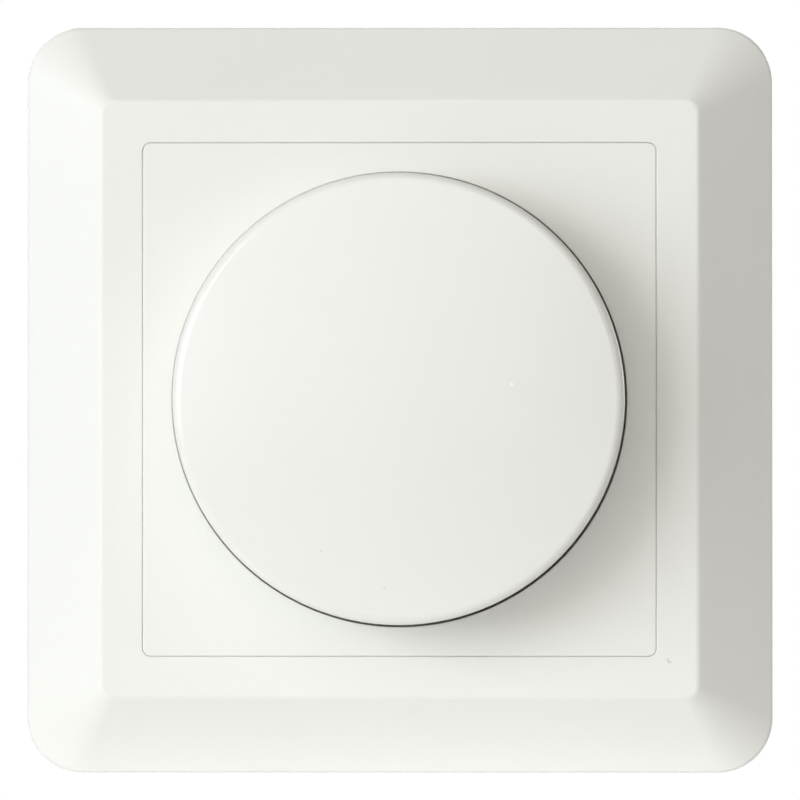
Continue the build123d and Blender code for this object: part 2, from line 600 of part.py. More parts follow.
def make_claw_screw():
    """Slotted screw through the support plate and the right claw."""
    head = CLAW_HEAD / 2
    top = SUPPORT_THICKNESS + CLAW_HEAD_HEIGHT
    half_slot = CLAW_SLOT / 2
    screw = post(CLAW_SCREW_X, 0, CLAW_SCREW / 2, -CLAW_SCREW_LENGTH, SUPPORT_THICKNESS)
    cap = post(CLAW_SCREW_X, 0, head, SUPPORT_THICKNESS, top)
    cap = fillet(cap.edges().sort_by(Axis.Z)[-1:], CLAW_HEAD_ROUND)
    cap -= block(CLAW_SCREW_X - head, CLAW_SCREW_X + head, -half_slot, half_slot, top - CLAW_SLOT_DEPTH, top)
    return screw + cap


def turned_round(maker):
    """The same piece on the other side of the axis."""
    return lambda: Rot(0, 0, 180) * maker()


def cross_head(x, y, radius, z0, height):
    """Pan head with a cross recess, standing along +Z."""
    head = post(x, y, radius, z0, z0 + height)
    head = fillet(head.edges().sort_by(Axis.Z)[-1:], height * 0.4)
    arm = radius * 0.6
    bar = radius * 0.14
    cut = z0 + height * 0.4
    head -= block(x - arm, x + arm, y - bar, y + bar, cut, z0 + height)
    return head - block(x - bar, x + bar, y - arm, y + arm, cut, z0 + height)


def make_housing_screws():
    """Three screws from the support plate into the housing bosses."""
    screws = []
    for x, y in BOSSES:
        shank = post(x, y, SCREW_DIAMETER / 2, -SCREW_DEPTH, SUPPORT_THICKNESS)
        screws.append(shank + cross_head(x, y, SCREW_HEAD / 2, SUPPORT_THICKNESS, SCREW_HEAD_HEIGHT))
    return screws


def make_pot_bush():
    """Brass bush with a square flange under the support plate."""
    bush = post(0, 0, BUSH_DIAMETER / 2, 0, BUSH_TOP)
    bush = chamfer(bush.edges().sort_by(Axis.Z)[-1:], 0.4)
    flange = BUSH_DIAMETER / 2 + 1.5
    bush += block(-flange, flange, -flange, flange, POT_FRONT, 0)
    return bush - post(0, 0, SPINDLE_DIAMETER / 2 + SPINDLE_PLAY, POT_FRONT, BUSH_TOP)


def make_pot_case():
    """Sheet can round the wiper."""
    can = slab(POT_SIZE, POT_SIZE, 2.0, POT_BACK, POT_FRONT)
    inside = POT_SIZE - 2 * POT_SHEET
    can -= slab(inside, inside, 2.0 - POT_SHEET, POT_BACK, POT_FRONT - POT_SHEET)
    return can - post(0, 0, SPINDLE_DIAMETER / 2 + 1.0 + CLEAR, POT_BACK, POT_FRONT)


def make_resistance_track():
    """Ring of track material on the inside of the can."""
    radius = HALF_POT - POT_SHEET - FIT
    front = POT_FRONT - POT_SHEET
    track = post(0, 0, radius, TRACK_BACK, front)
    return track - post(0, 0, SPINDLE_DIAMETER / 2 + 1.0 + CLEAR, TRACK_BACK, front)


def make_wiper_rotor():
    """Moulded disc that the spindle turns and slides through."""
    rotor = post(0, 0, HALF_POT - POT_SHEET - CLEAR, ROTOR_BACK, ROTOR_FRONT)
    return rotor - d_bore(SPINDLE_DIAMETER / 2 + SPINDLE_PLAY, SPINDLE_FLAT, ROTOR_BACK, ROTOR_FRONT)


def make_wiper_contact():
    """Sprung strip between the rotor and the track."""
    front = TRACK_BACK - FIT
    half = WIPER_SPAN / 2
    outer = HALF_POT - POT_SHEET - 2 * CLEAR - FIT
    inner = outer - WIPER_SPAN / 3
    foot = block(-half, half, -outer, -inner, ROTOR_FRONT, ROTOR_FRONT + WIPER_SHEET)
    finger = block(-half, WIPER_FINGER - half, -outer, 2 * WIPER_SHEET - outer, ROTOR_FRONT, front)
    return foot + finger + mirror(finger, Plane.YZ)


def make_switch_case():
    """Moulded case of the push switch, open at the sides of the plunger."""
    case = slab(POT_SIZE, POT_SIZE, 1.0, BOARD_TOP, SWITCH_FRONT)
    bore = PLUNGER_DIAMETER / 2 + SPINDLE_PLAY
    case -= post(0, 0, bore, SWITCH_FLOOR, SWITCH_FRONT - SWITCH_WALL)
    case -= post(0, 0, SPINDLE_DIAMETER / 2 + CLEAR, SWITCH_FRONT - SWITCH_WALL, SWITCH_FRONT)
    wing = HALF_POT - SWITCH_WALL
    slot = BRIDGE_WIDTH / 2 + CLEAR + 2 * FIT
    case -= block(-wing, wing, -slot, slot, SWITCH_FLOOR, SWITCH_FRONT - SWITCH_WALL)
    for x, y in SWITCH_PINS:
        case -= block(x - PIN, x + PIN, y - PIN, y + PIN, BOARD_TOP, SWITCH_FLOOR)
    return case


def make_switch_plunger():
    """Plunger that the spindle end pushes."""
    plunger = post(0, 0, PLUNGER_DIAMETER / 2, PLUNGER_BACK, PLUNGER_FRONT)
    plunger -= post(0, 0, PLUNGER_DIAMETER / 2 - PLUNGER_RIM, PLUNGER_BACK, PLUNGER_BACK + PLUNGER_RECESS)
    plunger += post(0, 0, PLUNGER_STEM / 2, PLUNGER_BACK - STEM_END, PLUNGER_FRONT)
    slot = BRIDGE_WIDTH / 2 + FIT
    low = PLUNGER_BACK + BRIDGE_LIFT - FIT
    return plunger - block(-HALF_POT, HALF_POT, -slot, slot, low, low + BRIDGE_SHEET + 2 * FIT)


def make_contact_bridge():
    """Strip through the plunger that joins the two contacts."""
    reach = HALF_POT - SWITCH_WALL - BRIDGE_OVERHANG
    half = BRIDGE_WIDTH / 2
    low = PLUNGER_BACK + BRIDGE_LIFT
    return block(-reach, reach, -half, half, low, low + BRIDGE_SHEET)


def make_push_spring():
    """Return spring between the plunger and the switch floor."""
    height = PLUNGER_BACK + PLUNGER_RECESS - SWITCH_FLOOR - SPRING_WIRE - 2 * FIT
    radius = PLUNGER_DIAMETER / 2 - PLUNGER_RIM - SPRING_WIRE
    path = Helix(pitch=height / SPRING_TURNS, height=height, radius=radius)
    section = Plane(origin=path @ 0, z_dir=path % 0) * Circle(SPRING_WIRE / 2)
    return Pos(0, 0, SWITCH_FLOOR + SPRING_WIRE / 2 + FIT) * sweep(section, path=path)


def make_switch_contacts():
    """Two fixed blades under the bridge, each with a board pin."""
    top = PLUNGER_BACK + BRIDGE_LIFT - KNOB_TRAVEL - 2 * FIT
    half_x = CONTACT_SHEET / 2
    half_y = CONTACT_WIDTH / 2
    blades = []
    for (x, y), pin in zip(SWITCH_PINS, pins(SWITCH_PINS, SWITCH_FLOOR)):
        blades.append(pin + block(x - half_x, x + half_x, y - half_y, y + half_y, SWITCH_FLOOR, top))
    return blades


def make_circuit_board():
    """Board resting on the housing ledges, cut back at the terminals and bosses."""
    corner = INNER_CORNER - CLEAR
    board = slab(2 * (INNER_X - CLEAR), 2 * (INNER_Y - CLEAR), corner, BOARD_BOTTOM, BOARD_TOP)
    board -= block(-INNER_X, INNER_X, -INNER_Y, BOARD_EDGE, BOARD_BOTTOM, BOARD_TOP)
    for x, y in BOSSES:
        board -= post(x, y, BOSS_DIAMETER / 2 + CLEAR, BOARD_BOTTOM, BOARD_TOP)
        half = BOSS_DIAMETER / 2 + CLEAR
        board -= block(min(x, 2 * x), max(x, 2 * x), y - half, y + half,
                       BOARD_BOTTOM, BOARD_TOP)
    hole = PIN / 2 + PIN_PLAY
    for x, y in BOARD_PINS:
        board -= block(x - hole, x + hole, y - hole, y + hole, BOARD_BOTTOM, BOARD_TOP)
    return board


def make_film_capacitor():
    """Boxed suppression capacitor."""
    x0 = FILM_X - FILM_LENGTH / 2
    y0 = FILM_Y - FILM_WIDTH / 2
    case = block(x0, x0 + FILM_LENGTH, y0, y0 + FILM_WIDTH, BOARD_TOP, BOARD_TOP + FILM_HEIGHT)
    case = fillet(case.edges().filter_by(Axis.Z), FILM_CORNER)
    return case + pins(FILM_PINS)


def make_timing_capacitor():
    """Small film capacitor of the timing circuit."""
    (x0, y), (x1, _) = TIMING_PINS
    half = TIMING_WIDTH / 2
    case = block(x0 - TIMING_END, x1 + TIMING_END, y - half, y + half, BOARD_TOP, BOARD_TOP + TIMING_HEIGHT)
    return case + pins(TIMING_PINS)


def lying(points, radius, margin):
    """A round body lying between two bent leads."""
    (x0, y), (x1, _) = points
    height = BOARD_TOP + radius + CLEAR
    body = Pos((x0 + x1) / 2, y, height) * Rot(0, 90, 0) * Cylinder(radius, x1 - x0 - 2 * margin)
    lead = block(x0 - PIN / 2, x1 + PIN / 2, y - PIN / 2, y + PIN / 2, height - PIN / 2, height + PIN / 2)
    return body + lead + pins(points, height)


def make_resistors():
    """Two resistors in a row."""
    pairs = (RESISTOR_PINS[:2], RESISTOR_PINS[2:])
    return [lying(pair, RESISTOR_DIAMETER / 2, RESISTOR_LEAD) for pair in pairs]


def make_diac():
    """Trigger diode."""
    return lying(DIAC_PINS, DIAC_DIAMETER / 2, DIAC_LEAD)


def make_triac_frame():
    """Metal tab and legs of the triac."""
    x0 = TRIAC_X - TRIAC_WIDTH / 2
    front = TRIAC_BACK - TAB_SHEET
    tab = block(x0, x0 + TRIAC_WIDTH, front, TRIAC_BACK, TRIAC_LOW, TRIAC_TOP)
    tab -= tab_hole(SCREW_DIAMETER / 2 + CLEAR / 2, front, TRIAC_BACK)
    legs = [leg + block(x - PIN / 2, x + PIN / 2, y - PIN / 2, front, TRIAC_LOW - PIN, TRIAC_LOW)
            for leg, (x, y) in zip(pins(TRIAC_PINS, TRIAC_LOW), TRIAC_PINS)]
    for leg in legs:
        tab += leg
    return tab + block(x0, x0 + TRIAC_WIDTH, front, front + STRAP_SHEET, TRIAC_LOW - PIN, TRIAC_LOW)


def tab_hole(radius, y0, y1):
    """Round hole along Y in the middle of the triac tab."""
    z = TRIAC_TOP - TRIAC_TAB / 2
    return Pos(TRIAC_X, (y0 + y1) / 2, z) * Rot(90, 0, 0) * Cylinder(radius, y1 - y0)


def make_triac_body():
    """Moulded body in front of the tab."""
    x0 = TRIAC_X - TRIAC_WIDTH / 2
    front = TRIAC_BACK - TRIAC_THICKNESS
    top = TRIAC_LOW + TRIAC_BODY
    return block(x0, x0 + TRIAC_WIDTH, front, TRIAC_BACK - TAB_SHEET, TRIAC_LOW, top)


def make_triac_pad():
    """Insulating pad between tab and heat sink."""
    half = TRIAC_WIDTH / 2 + CLEAR
    pad = block(TRIAC_X - half, TRIAC_X + half, TRIAC_BACK, PAD_BACK, TRIAC_LOW, TRIAC_TOP)
    return pad - tab_hole(SCREW_DIAMETER / 2 + CLEAR / 2, TRIAC_BACK, PAD_BACK)


def make_triac_screw():
    """Screw that clamps the triac to the heat sink."""
    z = TRIAC_TOP - TRIAC_TAB / 2
    front = TRIAC_BACK - TAB_SHEET
    screw = tab_hole(SCREW_DIAMETER / 2, front, SINK_BACK)
    head = cross_head(0, 0, SCREW_HEAD / 2, 0, SCREW_HEAD_HEIGHT)
    return screw + Pos(TRIAC_X, front, z) * Rot(90, 0, 0) * head


def make_heat_sink():
    """Aluminium angle from the triac to the support plate."""
    half = TRIAC_WIDTH / 2 + CLEAR
    leg = block(TRIAC_X - half, TRIAC_X + half, PAD_BACK, SINK_BACK, TRIAC_LOW, 0)
    foot = block(TRIAC_X - half, TRIAC_X + half, RIVET_Y - 2.5, SINK_BACK, -SINK_SHEET, 0)
    sink = leg + foot - tab_hole(SCREW_DIAMETER / 2 + FIT, PAD_BACK, SINK_BACK)
    return sink - post(TRIAC_X, RIVET_Y, SCREW_DIAMETER / 2 + FIT, -SINK_SHEET, 0)


def make_heat_sink_rivet():
    """Rivet through the heat sink foot and the support plate."""
    rivet = post(TRIAC_X, RIVET_Y, SCREW_DIAMETER / 2, -SINK_SHEET, SUPPORT_THICKNESS)
    rivet += post(TRIAC_X, RIVET_Y, SCREW_HEAD / 2, SUPPORT_THICKNESS, SUPPORT_THICKNESS + RIVET_HEAD)
    return rivet + post(TRIAC_X, RIVET_Y, SCREW_HEAD / 2 - CLEAR, -SINK_SHEET - RIVET_HEAD, -SINK_SHEET)


def choke_place():
    """Turns a ring made about Z so that its axis lies along X."""
    return Pos(CHOKE_X, CHOKE_Y, CHOKE_Z) * Rot(0, 90, 0)


def make_choke_core():
    """Ferrite ring of the choke."""
    half = CHOKE_THICKNESS / 2
    ring = post(0, 0, CHOKE_DIAMETER / 2, -half, half) - post(0, 0, CHOKE_HOLE / 2, -half, half)
    return choke_place() * ring


def make_choke_winding():
    """Turns of wire round the ring, joined by a strap, with two leads."""
    half = CHOKE_THICKNESS / 2
    inner = CHOKE_HOLE / 2
    outer = CHOKE_DIAMETER / 2
    wire = CHOKE_WIRE
    turn = block(inner - wire, outer + wire, -wire / 2, wire / 2, -half - wire, half + wire)
    turn -= block(inner - FIT, outer + FIT, -wire, wire, -half - FIT, half + FIT)
    strap = post(0, 0, inner - FIT, -half - wire, -half - FIT) - post(0, 0, inner - wire, -half - wire, half)
    for k in range(CHOKE_TURNS):
        strap += Rot(0, 0, 360 / CHOKE_TURNS * (k + 0.5)) * turn
    winding = choke_place() * strap
    floor = BOARD_TOP + 2 * wire
    for pin, (x, y) in zip(pins(CHOKE_PINS, floor), CHOKE_PINS):
        winding += pin - choke_place() * post(0, 0, outer + FIT, -half, half)
    return winding


def make_fuse_tube():
    """Glass tube of the fuse."""
    outer = FUSE_DIAMETER / 2 - FUSE_CAP_SHEET
    tube = Cylinder(outer, FUSE_LENGTH - 2 * FUSE_CAP) - Cylinder(outer - FUSE_GLASS, FUSE_LENGTH)
    return Pos(FUSE_X, 0, FUSE_Z) * Rot(90, 0, 0) * tube


def make_fuse_caps():
    """Two metal end caps of the fuse."""
    cap = Cylinder(FUSE_DIAMETER / 2, FUSE_CAP)
    middle = (FUSE_LENGTH - FUSE_CAP) / 2
    return [Pos(FUSE_X, side * middle, FUSE_Z) * Rot(90, 0, 0) * cap for side in (-1, 1)]


def make_fuse_clips():
    """Two spring clips that hold the fuse on the board."""
    gap = FUSE_DIAMETER / 2 + FIT
    sheet = CLIP_SHEET
    half = CLIP_WIDTH / 2
    top = FUSE_Z + FUSE_DIAMETER / 2
    clips = []
    for (x, y), pin in zip(CLIP_PINS, pins(CLIP_PINS)):
        clip = block(x - gap - sheet, x + gap + sheet, y - half, y + half, BOARD_TOP, top)
        clip -= block(x - gap, x + gap, y - half, y + half, BOARD_TOP + sheet, top)
        clips.append(clip + pin)
    return clips


def make_trimmer_body():
    """Body of the lowest-brightness trimmer."""
    half = TRIMMER_SIZE / 2
    top = BOARD_TOP + TRIMMER_HEIGHT
    body = block(TRIMMER_X - half, TRIMMER_X + half, TRIMMER_Y - half, TRIMMER_Y + half, BOARD_TOP, top)
    body -= post(TRIMMER_X, TRIMMER_Y, TRIMMER_SHAFT / 2 + SPINDLE_PLAY, BOARD_TOP + TRIMMER_FLOOR, top)
    return body + pins(TRIMMER_PINS)


def make_trimmer_shaft():
    """Slotted shaft of the trimmer, reached through the support plate."""
    radius = TRIMMER_SHAFT / 2
    top = SUPPORT_THICKNESS / 2
    half = TRIMMER_SLOT / 2
    shaft = post(TRIMMER_X, TRIMMER_Y, radius, BOARD_TOP + TRIMMER_FLOOR + FIT, top)
    return shaft - block(TRIMMER_X - radius, TRIMMER_X + radius, TRIMMER_Y - half, TRIMMER_Y + half,
                         top - TRIMMER_SLOT_DEPTH, top)


def wire_funnel(x):
    """Tapered wire entry through the housing floor."""
    small = WIRE_ENTRY + 2 * CLEAR
    wide = small + FUNNEL_FLARE
    inner = Pos(x, TERMINAL_MID, FLOOR_TOP) * RectangleRounded(small, small, FUNNEL_CORNER)
    outer = Pos(x, TERMINAL_MID, HOUSING_BACK) * RectangleRounded(wide, wide, 2 * FUNNEL_CORNER)
    return loft([outer, inner], ruled=True)


def screw_access(x):
    """Round opening in the lower wall for a terminal screw."""
    length = HOUSING_WALL + HEAD_SPACE
    place = Pos(x, TERMINAL_BOTTOM - length / 2, TERMINAL_SCREW_Z) * Rot(90, 0, 0)
    return place * Cylinder(TERMINAL_HEAD / 2 + CLEAR, length + FIT)


def make_insert_housing():
    """Moulded cup with screw bosses, board ledges, terminal walls, entries and vent slots."""
    cup = slab(HOUSING_WIDTH, HOUSING_HEIGHT, HOUSING_CORNER, HOUSING_BACK, 0)
    cup = fillet(edges_at(cup, HOUSING_BACK, HOUSING_HEIGHT), HOUSING_ROUND)
    hollow = slab(2 * INNER_X, 2 * INNER_Y, INNER_CORNER, FLOOR_TOP, 0)
    for x, y in BOSSES:
        hollow -= post(x, y, BOSS_DIAMETER / 2, FLOOR_TOP, 0)
    for side in (-1, 1):
        for y in (-HALF_POT, HALF_POT / 2):
            shelf = block(INNER_X - SHELF_REACH, INNER_X, y, y + SHELF_LENGTH, FLOOR_TOP, BOARD_BOTTOM)
            hollow -= mirror(shelf, Plane.YZ) if side < 0 else shelf
    wall_x = TERMINAL_PITCH / 2
    wall_half = (TERMINAL_PITCH - TERMINAL_WIDTH) / 2 - FIT
    for x in (-3 * wall_x, -wall_x, wall_x, 3 * wall_x):
        hollow -= block(x - wall_half, x + wall_half, -INNER_Y, TERMINAL_TOP,
                        FLOOR_TOP, FLOOR_TOP + TERMINAL_HEIGHT)
    cup -= hollow
    for x, y in BOSSES:
        cup -= post(x, y, SCREW_DIAMETER / 2 + FIT, -SCREW_DEPTH - SCREW_ROOM, 0)
    for x in TERMINALS:
        cup -= wire_funnel(x)
        cup -= screw_access(x)
    field_y = HALF_POT / 2
    half_field = FIELD_WIDTH / 2
    field_floor = HOUSING_BACK + FIELD_SINK
    cup -= block(-half_field, half_field, field_y, field_y + FIELD_HEIGHT, HOUSING_BACK, field_floor)
    for side in (-1, 1):
        for y in (field_y + FIELD_HEIGHT / 2, -field_y):
            cup -= post(side * (HOUSING_WIDTH / 2 - EJECTOR_INSET), y, EJECTOR_MARK / 2,
                        HOUSING_BACK, HOUSING_BACK + EJECTOR_SINK)
    vent_middle = HOUSING_BACK / 2
    for k in range(VENT_COUNT):
        x = (k - (VENT_COUNT - 1) / 2) * VENT_PITCH
        cup -= block(x - VENT_WIDTH / 2, x + VENT_WIDTH / 2, INNER_Y, INNER_Y + HOUSING_WALL,
                     vent_middle - VENT_LENGTH / 2, vent_middle + VENT_LENGTH / 2)
    half_groove = STRIP_GROOVE / 2
    gauge_y = field_y - 2 * STRIP_GROOVE
    return cup - block(-STRIP_GAUGE / 2, STRIP_GAUGE / 2, gauge_y - half_groove, gauge_y + half_groove,
                       HOUSING_BACK, HOUSING_BACK + half_groove)


def make_terminal_clamps():
    """Three brass cage terminals with a tail to the board."""
    clamps = []
    for x, pin in zip(TERMINALS, pins(TERMINAL_PINS)):
        half = TERMINAL_WIDTH / 2
        top = FLOOR_TOP + TERMINAL_HEIGHT
        cage = block(x - half, x + half, TERMINAL_BOTTOM, TERMINAL_TOP, FLOOR_TOP, top)
        entry = WIRE_ENTRY / 2
        cage -= block(x - entry, x + entry, TERMINAL_MID - entry, TERMINAL_MID + entry,
                      FLOOR_TOP, top - CLAMP_WALL)
        thread = Pos(x, (TERMINAL_BOTTOM + TERMINAL_MID) / 2, TERMINAL_SCREW_Z) * Rot(90, 0, 0)
        cage -= thread * Cylinder(TERMINAL_SCREW / 2 + FIT, TERMINAL_MID - TERMINAL_BOTTOM)
        half_tail = TAIL_WIDTH / 2
        tail = block(x - half_tail, x + half_tail, TERMINAL_TOP, BOARD_EDGE + TAIL_REACH,
                     BOARD_TOP, BOARD_TOP + TAIL_SHEET)
        clamps.append(cage + tail + pin)
    return clamps


def make_terminal_screws():
    """Three slotted terminal screws reached through the lower wall."""
    screws = []
    length = (TERMINAL_DEPTH - WIRE_ENTRY) / 2 - FIT
    for x in TERMINALS:
        head = post(0, 0, TERMINAL_HEAD / 2, 0, TERMINAL_HEAD_HEIGHT)
        head += post(0, 0, TERMINAL_SCREW / 2, -length, 0)
        head -= block(-TERMINAL_HEAD, TERMINAL_HEAD, -SCREW_SLOT / 2, SCREW_SLOT / 2,
                      TERMINAL_HEAD_HEIGHT / 2, TERMINAL_HEAD_HEIGHT)
        screws.append(Pos(x, TERMINAL_BOTTOM, TERMINAL_SCREW_Z) * Rot(90, 0, 0) * head)
    return screws


MAKERS = {
    "cover_frame": make_cover_frame,
    "centre_plate": make_centre_plate,
    "rotary_knob": make_rotary_knob,
    "knob_spring_ring": make_knob_spring_ring,
    "spindle": make_spindle,
    "spindle_nut": make_spindle_nut,
    "nut_washer": make_nut_washer,
    "support_plate": make_support_plate,
    "housing_screws": make_housing_screws,
    "claw_right": make_claw,
    "claw_left": turned_round(make_claw),
    "claw_screw_right": make_claw_screw,
    "claw_screw_left": turned_round(make_claw_screw),
    "pot_bush": make_pot_bush,
    "pot_case": make_pot_case,
    "resistance_track": make_resistance_track,
    "wiper_rotor": make_wiper_rotor,
    "wiper_contact": make_wiper_contact,
    "switch_case": make_switch_case,
    "switch_plunger": make_switch_plunger,
    "contact_bridge": make_contact_bridge,
    "push_spring": make_push_spring,
    "switch_contacts": make_switch_contacts,
    "circuit_board": make_circuit_board,
    "film_capacitor": make_film_capacitor,
    "timing_capacitor": make_timing_capacitor,
    "resistors": make_resistors,
    "diac": make_diac,
    "triac_frame": make_triac_frame,
    "triac_body": make_triac_body,
    "triac_pad": make_triac_pad,
    "triac_screw": make_triac_screw,
    "heat_sink": make_heat_sink,
    "heat_sink_rivet": make_heat_sink_rivet,
    "choke_core": make_choke_core,
    "choke_winding": make_choke_winding,
    "fuse_tube": make_fuse_tube,
    "fuse_caps": make_fuse_caps,
    "fuse_clips": make_fuse_clips,
    "trimmer_body": make_trimmer_body,
    "trimmer_shaft": make_trimmer_shaft,
    "insert_housing": make_insert_housing,
    "terminal_clamps": make_terminal_clamps,
    "terminal_screws": make_terminal_screws,
}


def to_wall(shape):
    """Turns a piece from the modelling frame into the wall frame."""
    solids = shape if isinstance(shape, list) else [shape]
    turned_solids = [Rot(90, 0, 0) * piece for solid in solids for piece in solid.solids()]
    return turned_solids[0] if len(turned_solids) == 1 else Compound(children=turned_solids)


os.makedirs("parts", exist_ok=True)
for name, maker in MAKERS.items():
    export_step(to_wall(maker()), f"parts/{name}.step")
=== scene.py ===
import math

import bmesh
import bpy
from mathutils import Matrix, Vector


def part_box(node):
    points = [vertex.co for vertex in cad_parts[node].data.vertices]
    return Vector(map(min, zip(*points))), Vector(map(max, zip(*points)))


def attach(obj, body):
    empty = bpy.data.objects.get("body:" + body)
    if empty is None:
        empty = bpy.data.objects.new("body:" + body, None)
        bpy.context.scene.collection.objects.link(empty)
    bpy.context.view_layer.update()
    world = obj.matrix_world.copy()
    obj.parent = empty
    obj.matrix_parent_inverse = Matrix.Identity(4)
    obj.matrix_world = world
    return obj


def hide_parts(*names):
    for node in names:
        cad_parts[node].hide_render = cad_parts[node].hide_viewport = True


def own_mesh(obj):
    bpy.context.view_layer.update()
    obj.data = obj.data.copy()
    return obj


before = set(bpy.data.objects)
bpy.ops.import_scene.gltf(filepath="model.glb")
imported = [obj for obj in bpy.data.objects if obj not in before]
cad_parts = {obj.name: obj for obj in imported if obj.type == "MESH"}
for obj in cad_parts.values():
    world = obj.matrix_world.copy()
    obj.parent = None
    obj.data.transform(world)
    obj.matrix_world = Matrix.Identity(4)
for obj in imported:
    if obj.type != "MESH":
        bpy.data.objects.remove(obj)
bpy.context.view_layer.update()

MM = 0.001

# Camera in front of the wall, a little to the right of the knob axis and below it
CAMERA_DISTANCE = 0.70
CAMERA_SIDE = 0.0065
CAMERA_RISE = -0.0060
CAMERA_NEAR = 0.01
SENSOR_WIDTH = 36.0

# Width of the frame, place of its edge in front of the wall, and its share of the picture
FRAME_WIDTH = 81.0 * MM
FRAME_EDGE_LEVEL = 3.0 * MM
FRAME_SHARE = 743.9 / 800.0

# Colours of the front, linear
WARM_WHITE = (0.795, 0.800, 0.772)
WARM_WHITE_SHADE = (0.775, 0.780, 0.748)
# Brownish grey of settled dust, also painted into gaps and inside corners as shade
DUST_AND_SHADE = (0.50, 0.47, 0.41)
BLEMISH_WHITE = (0.95, 0.95, 0.94)
BLEMISH_GREY = (0.36, 0.355, 0.34)

# Colours behind the front, linear: tone, shade and worn corners
HOUSING_GREY = (0.235, 0.242, 0.246), (0.200, 0.206, 0.212), (0.31, 0.315, 0.32)
DARK_MOULDING = (0.030, 0.030, 0.032), (0.022, 0.022, 0.024), (0.07, 0.07, 0.07)
WHITE_MOULDING = (0.70, 0.69, 0.65), (0.64, 0.63, 0.585), (0.76, 0.75, 0.71)
PHENOLIC = (0.19, 0.095, 0.042), (0.12, 0.058, 0.026), (0.26, 0.15, 0.08)
BOARD = (0.028, 0.115, 0.052), (0.060, 0.205, 0.082), (0.16, 0.24, 0.12)
FERRITE = (0.050, 0.050, 0.052), (0.032, 0.032, 0.034), (0.11, 0.11, 0.11)
CAPACITOR = (0.70, 0.47, 0.055), (0.62, 0.40, 0.045), (0.78, 0.56, 0.12)
RESISTOR = (0.55, 0.37, 0.19), (0.49, 0.32, 0.16), (0.62, 0.45, 0.26)
PAD = (0.60, 0.30, 0.29), (0.53, 0.25, 0.245), (0.66, 0.38, 0.37)
ZINC = (0.66, 0.665, 0.67), (0.60, 0.585, 0.53), (0.80, 0.80, 0.80)
SPRING_STEEL = (0.40, 0.395, 0.385), (0.31, 0.30, 0.285), (0.62, 0.61, 0.60)
SCREW_STEEL = (0.70, 0.695, 0.68), (0.60, 0.585, 0.55), (0.84, 0.83, 0.81)
BRASS = (0.78, 0.58, 0.27), (0.62, 0.44, 0.19), (0.90, 0.72, 0.40)
NICKEL = (0.66, 0.63, 0.57), (0.57, 0.54, 0.47), (0.78, 0.75, 0.69)
COPPER = (0.62, 0.27, 0.13), (0.46, 0.18, 0.08), (0.76, 0.40, 0.22)
ALUMINIUM = (0.76, 0.765, 0.77), (0.67, 0.675, 0.68), (0.88, 0.88, 0.88)
GLASS = (0.93, 0.96, 0.94)
GLASS_SHADE = (0.86, 0.91, 0.88)
REFRACTION = 1.5

# How far drawn lines are stretched, along each direction of the part
ALONG_X = (260.0, 9000.0, 9000.0)
ALONG_Y = (9000.0, 260.0, 9000.0)
ALONG_Z = (9000.0, 9000.0, 260.0)

# Plastics: slot, colours, smoothest, roughest, grains per metre, grain depth
PLASTICS = (
    ("housing_grey", HOUSING_GREY, 0.42, 0.56, 5200.0, 9e-6),
    ("dark_moulding", DARK_MOULDING, 0.38, 0.52, 6000.0, 6e-6),
    ("white_moulding", WHITE_MOULDING, 0.34, 0.44, 4000.0, 3e-6),
    ("brown_phenolic", PHENOLIC, 0.45, 0.62, 7000.0, 5e-6),
    ("board_green", BOARD, 0.24, 0.36, 3000.0, 3e-6),
    ("ferrite", FERRITE, 0.5, 0.68, 8000.0, 8e-6),
    ("capacitor_yellow", CAPACITOR, 0.30, 0.42, 3500.0, 3e-6),
    ("resistor_tan", RESISTOR, 0.30, 0.45, 3000.0, 4e-6),
    ("pad_pink", PAD, 0.55, 0.7, 6000.0, 4e-6),
)

# Metals: slot, colours, smoothest, roughest, direction of the lines, contrast, line depth
METALS = (
    ("zinc_steel", ZINC, 0.27, 0.42, ALONG_Z, 1.4, 2.5e-6),
    ("spring_steel", SPRING_STEEL, 0.28, 0.46, ALONG_Y, 1.5, 3e-6),
    ("bright_steel", SCREW_STEEL, 0.22, 0.36, ALONG_Y, 1.0, 2e-6),
    ("plain_brass", BRASS, 0.24, 0.40, ALONG_Y, 1.2, 2e-6),
    ("nickel_brass", NICKEL, 0.18, 0.30, ALONG_X, 1.0, 1.5e-6),
    ("copper_wire", COPPER, 0.22, 0.36, ALONG_X, 1.2, 2e-6),
    ("sink_aluminium", ALUMINIUM, 0.30, 0.44, ALONG_Y, 1.5, 3e-6),
)

# Small marks on the knob's face: place and radius in millimetres, colour, strength
KNOB_FACE_MARKS = (
    ((12.0, -22.12, 1.5), 0.15, BLEMISH_WHITE, 0.9),
    ((-1.5, -21.27, -20.1), 0.13, BLEMISH_GREY, 0.22),
    ((-8.2, -21.52, -16.2), 0.13, BLEMISH_GREY, 0.22),
)

# Crescent on the land: a round mark less the same mark moved up and to the right, in millimetres
LAND_MARK = (29.15, -9.8, -28.1)
LAND_MARK_RADIUS = 0.32
LAND_MARK_SHIFT = 0.14
LAND_MARK_STRENGTH = 0.5

# Claw screws
SCREW_RADIUS = 1.5 * MM
SCREW_HEAD_HEIGHT = 1.6 * MM
SCREW_HEAD_ROUND = 0.4 * MM
SCREW_HEAD_BENDS = (0.0, 22.5, 45.0, 67.5, 90.0)
SCREW_SLOT_HALF = 0.4 * MM
SCREW_SLOT_DEPTH = 0.9 * MM
SCREW_SLOT_STEPS = 4
THREAD_PITCH = 0.5 * MM
THREAD_DEPTH = 0.26 * MM
THREAD_RUN_OUT = 0.8 * MM
THREAD_IN_HEAD = 0.2 * MM
THREAD_ROOT = 0.14
THREAD_FLANK = 0.66
THREAD_ROWS = 6
RING_STEPS = 40
SHARP_ANGLE = 40.0

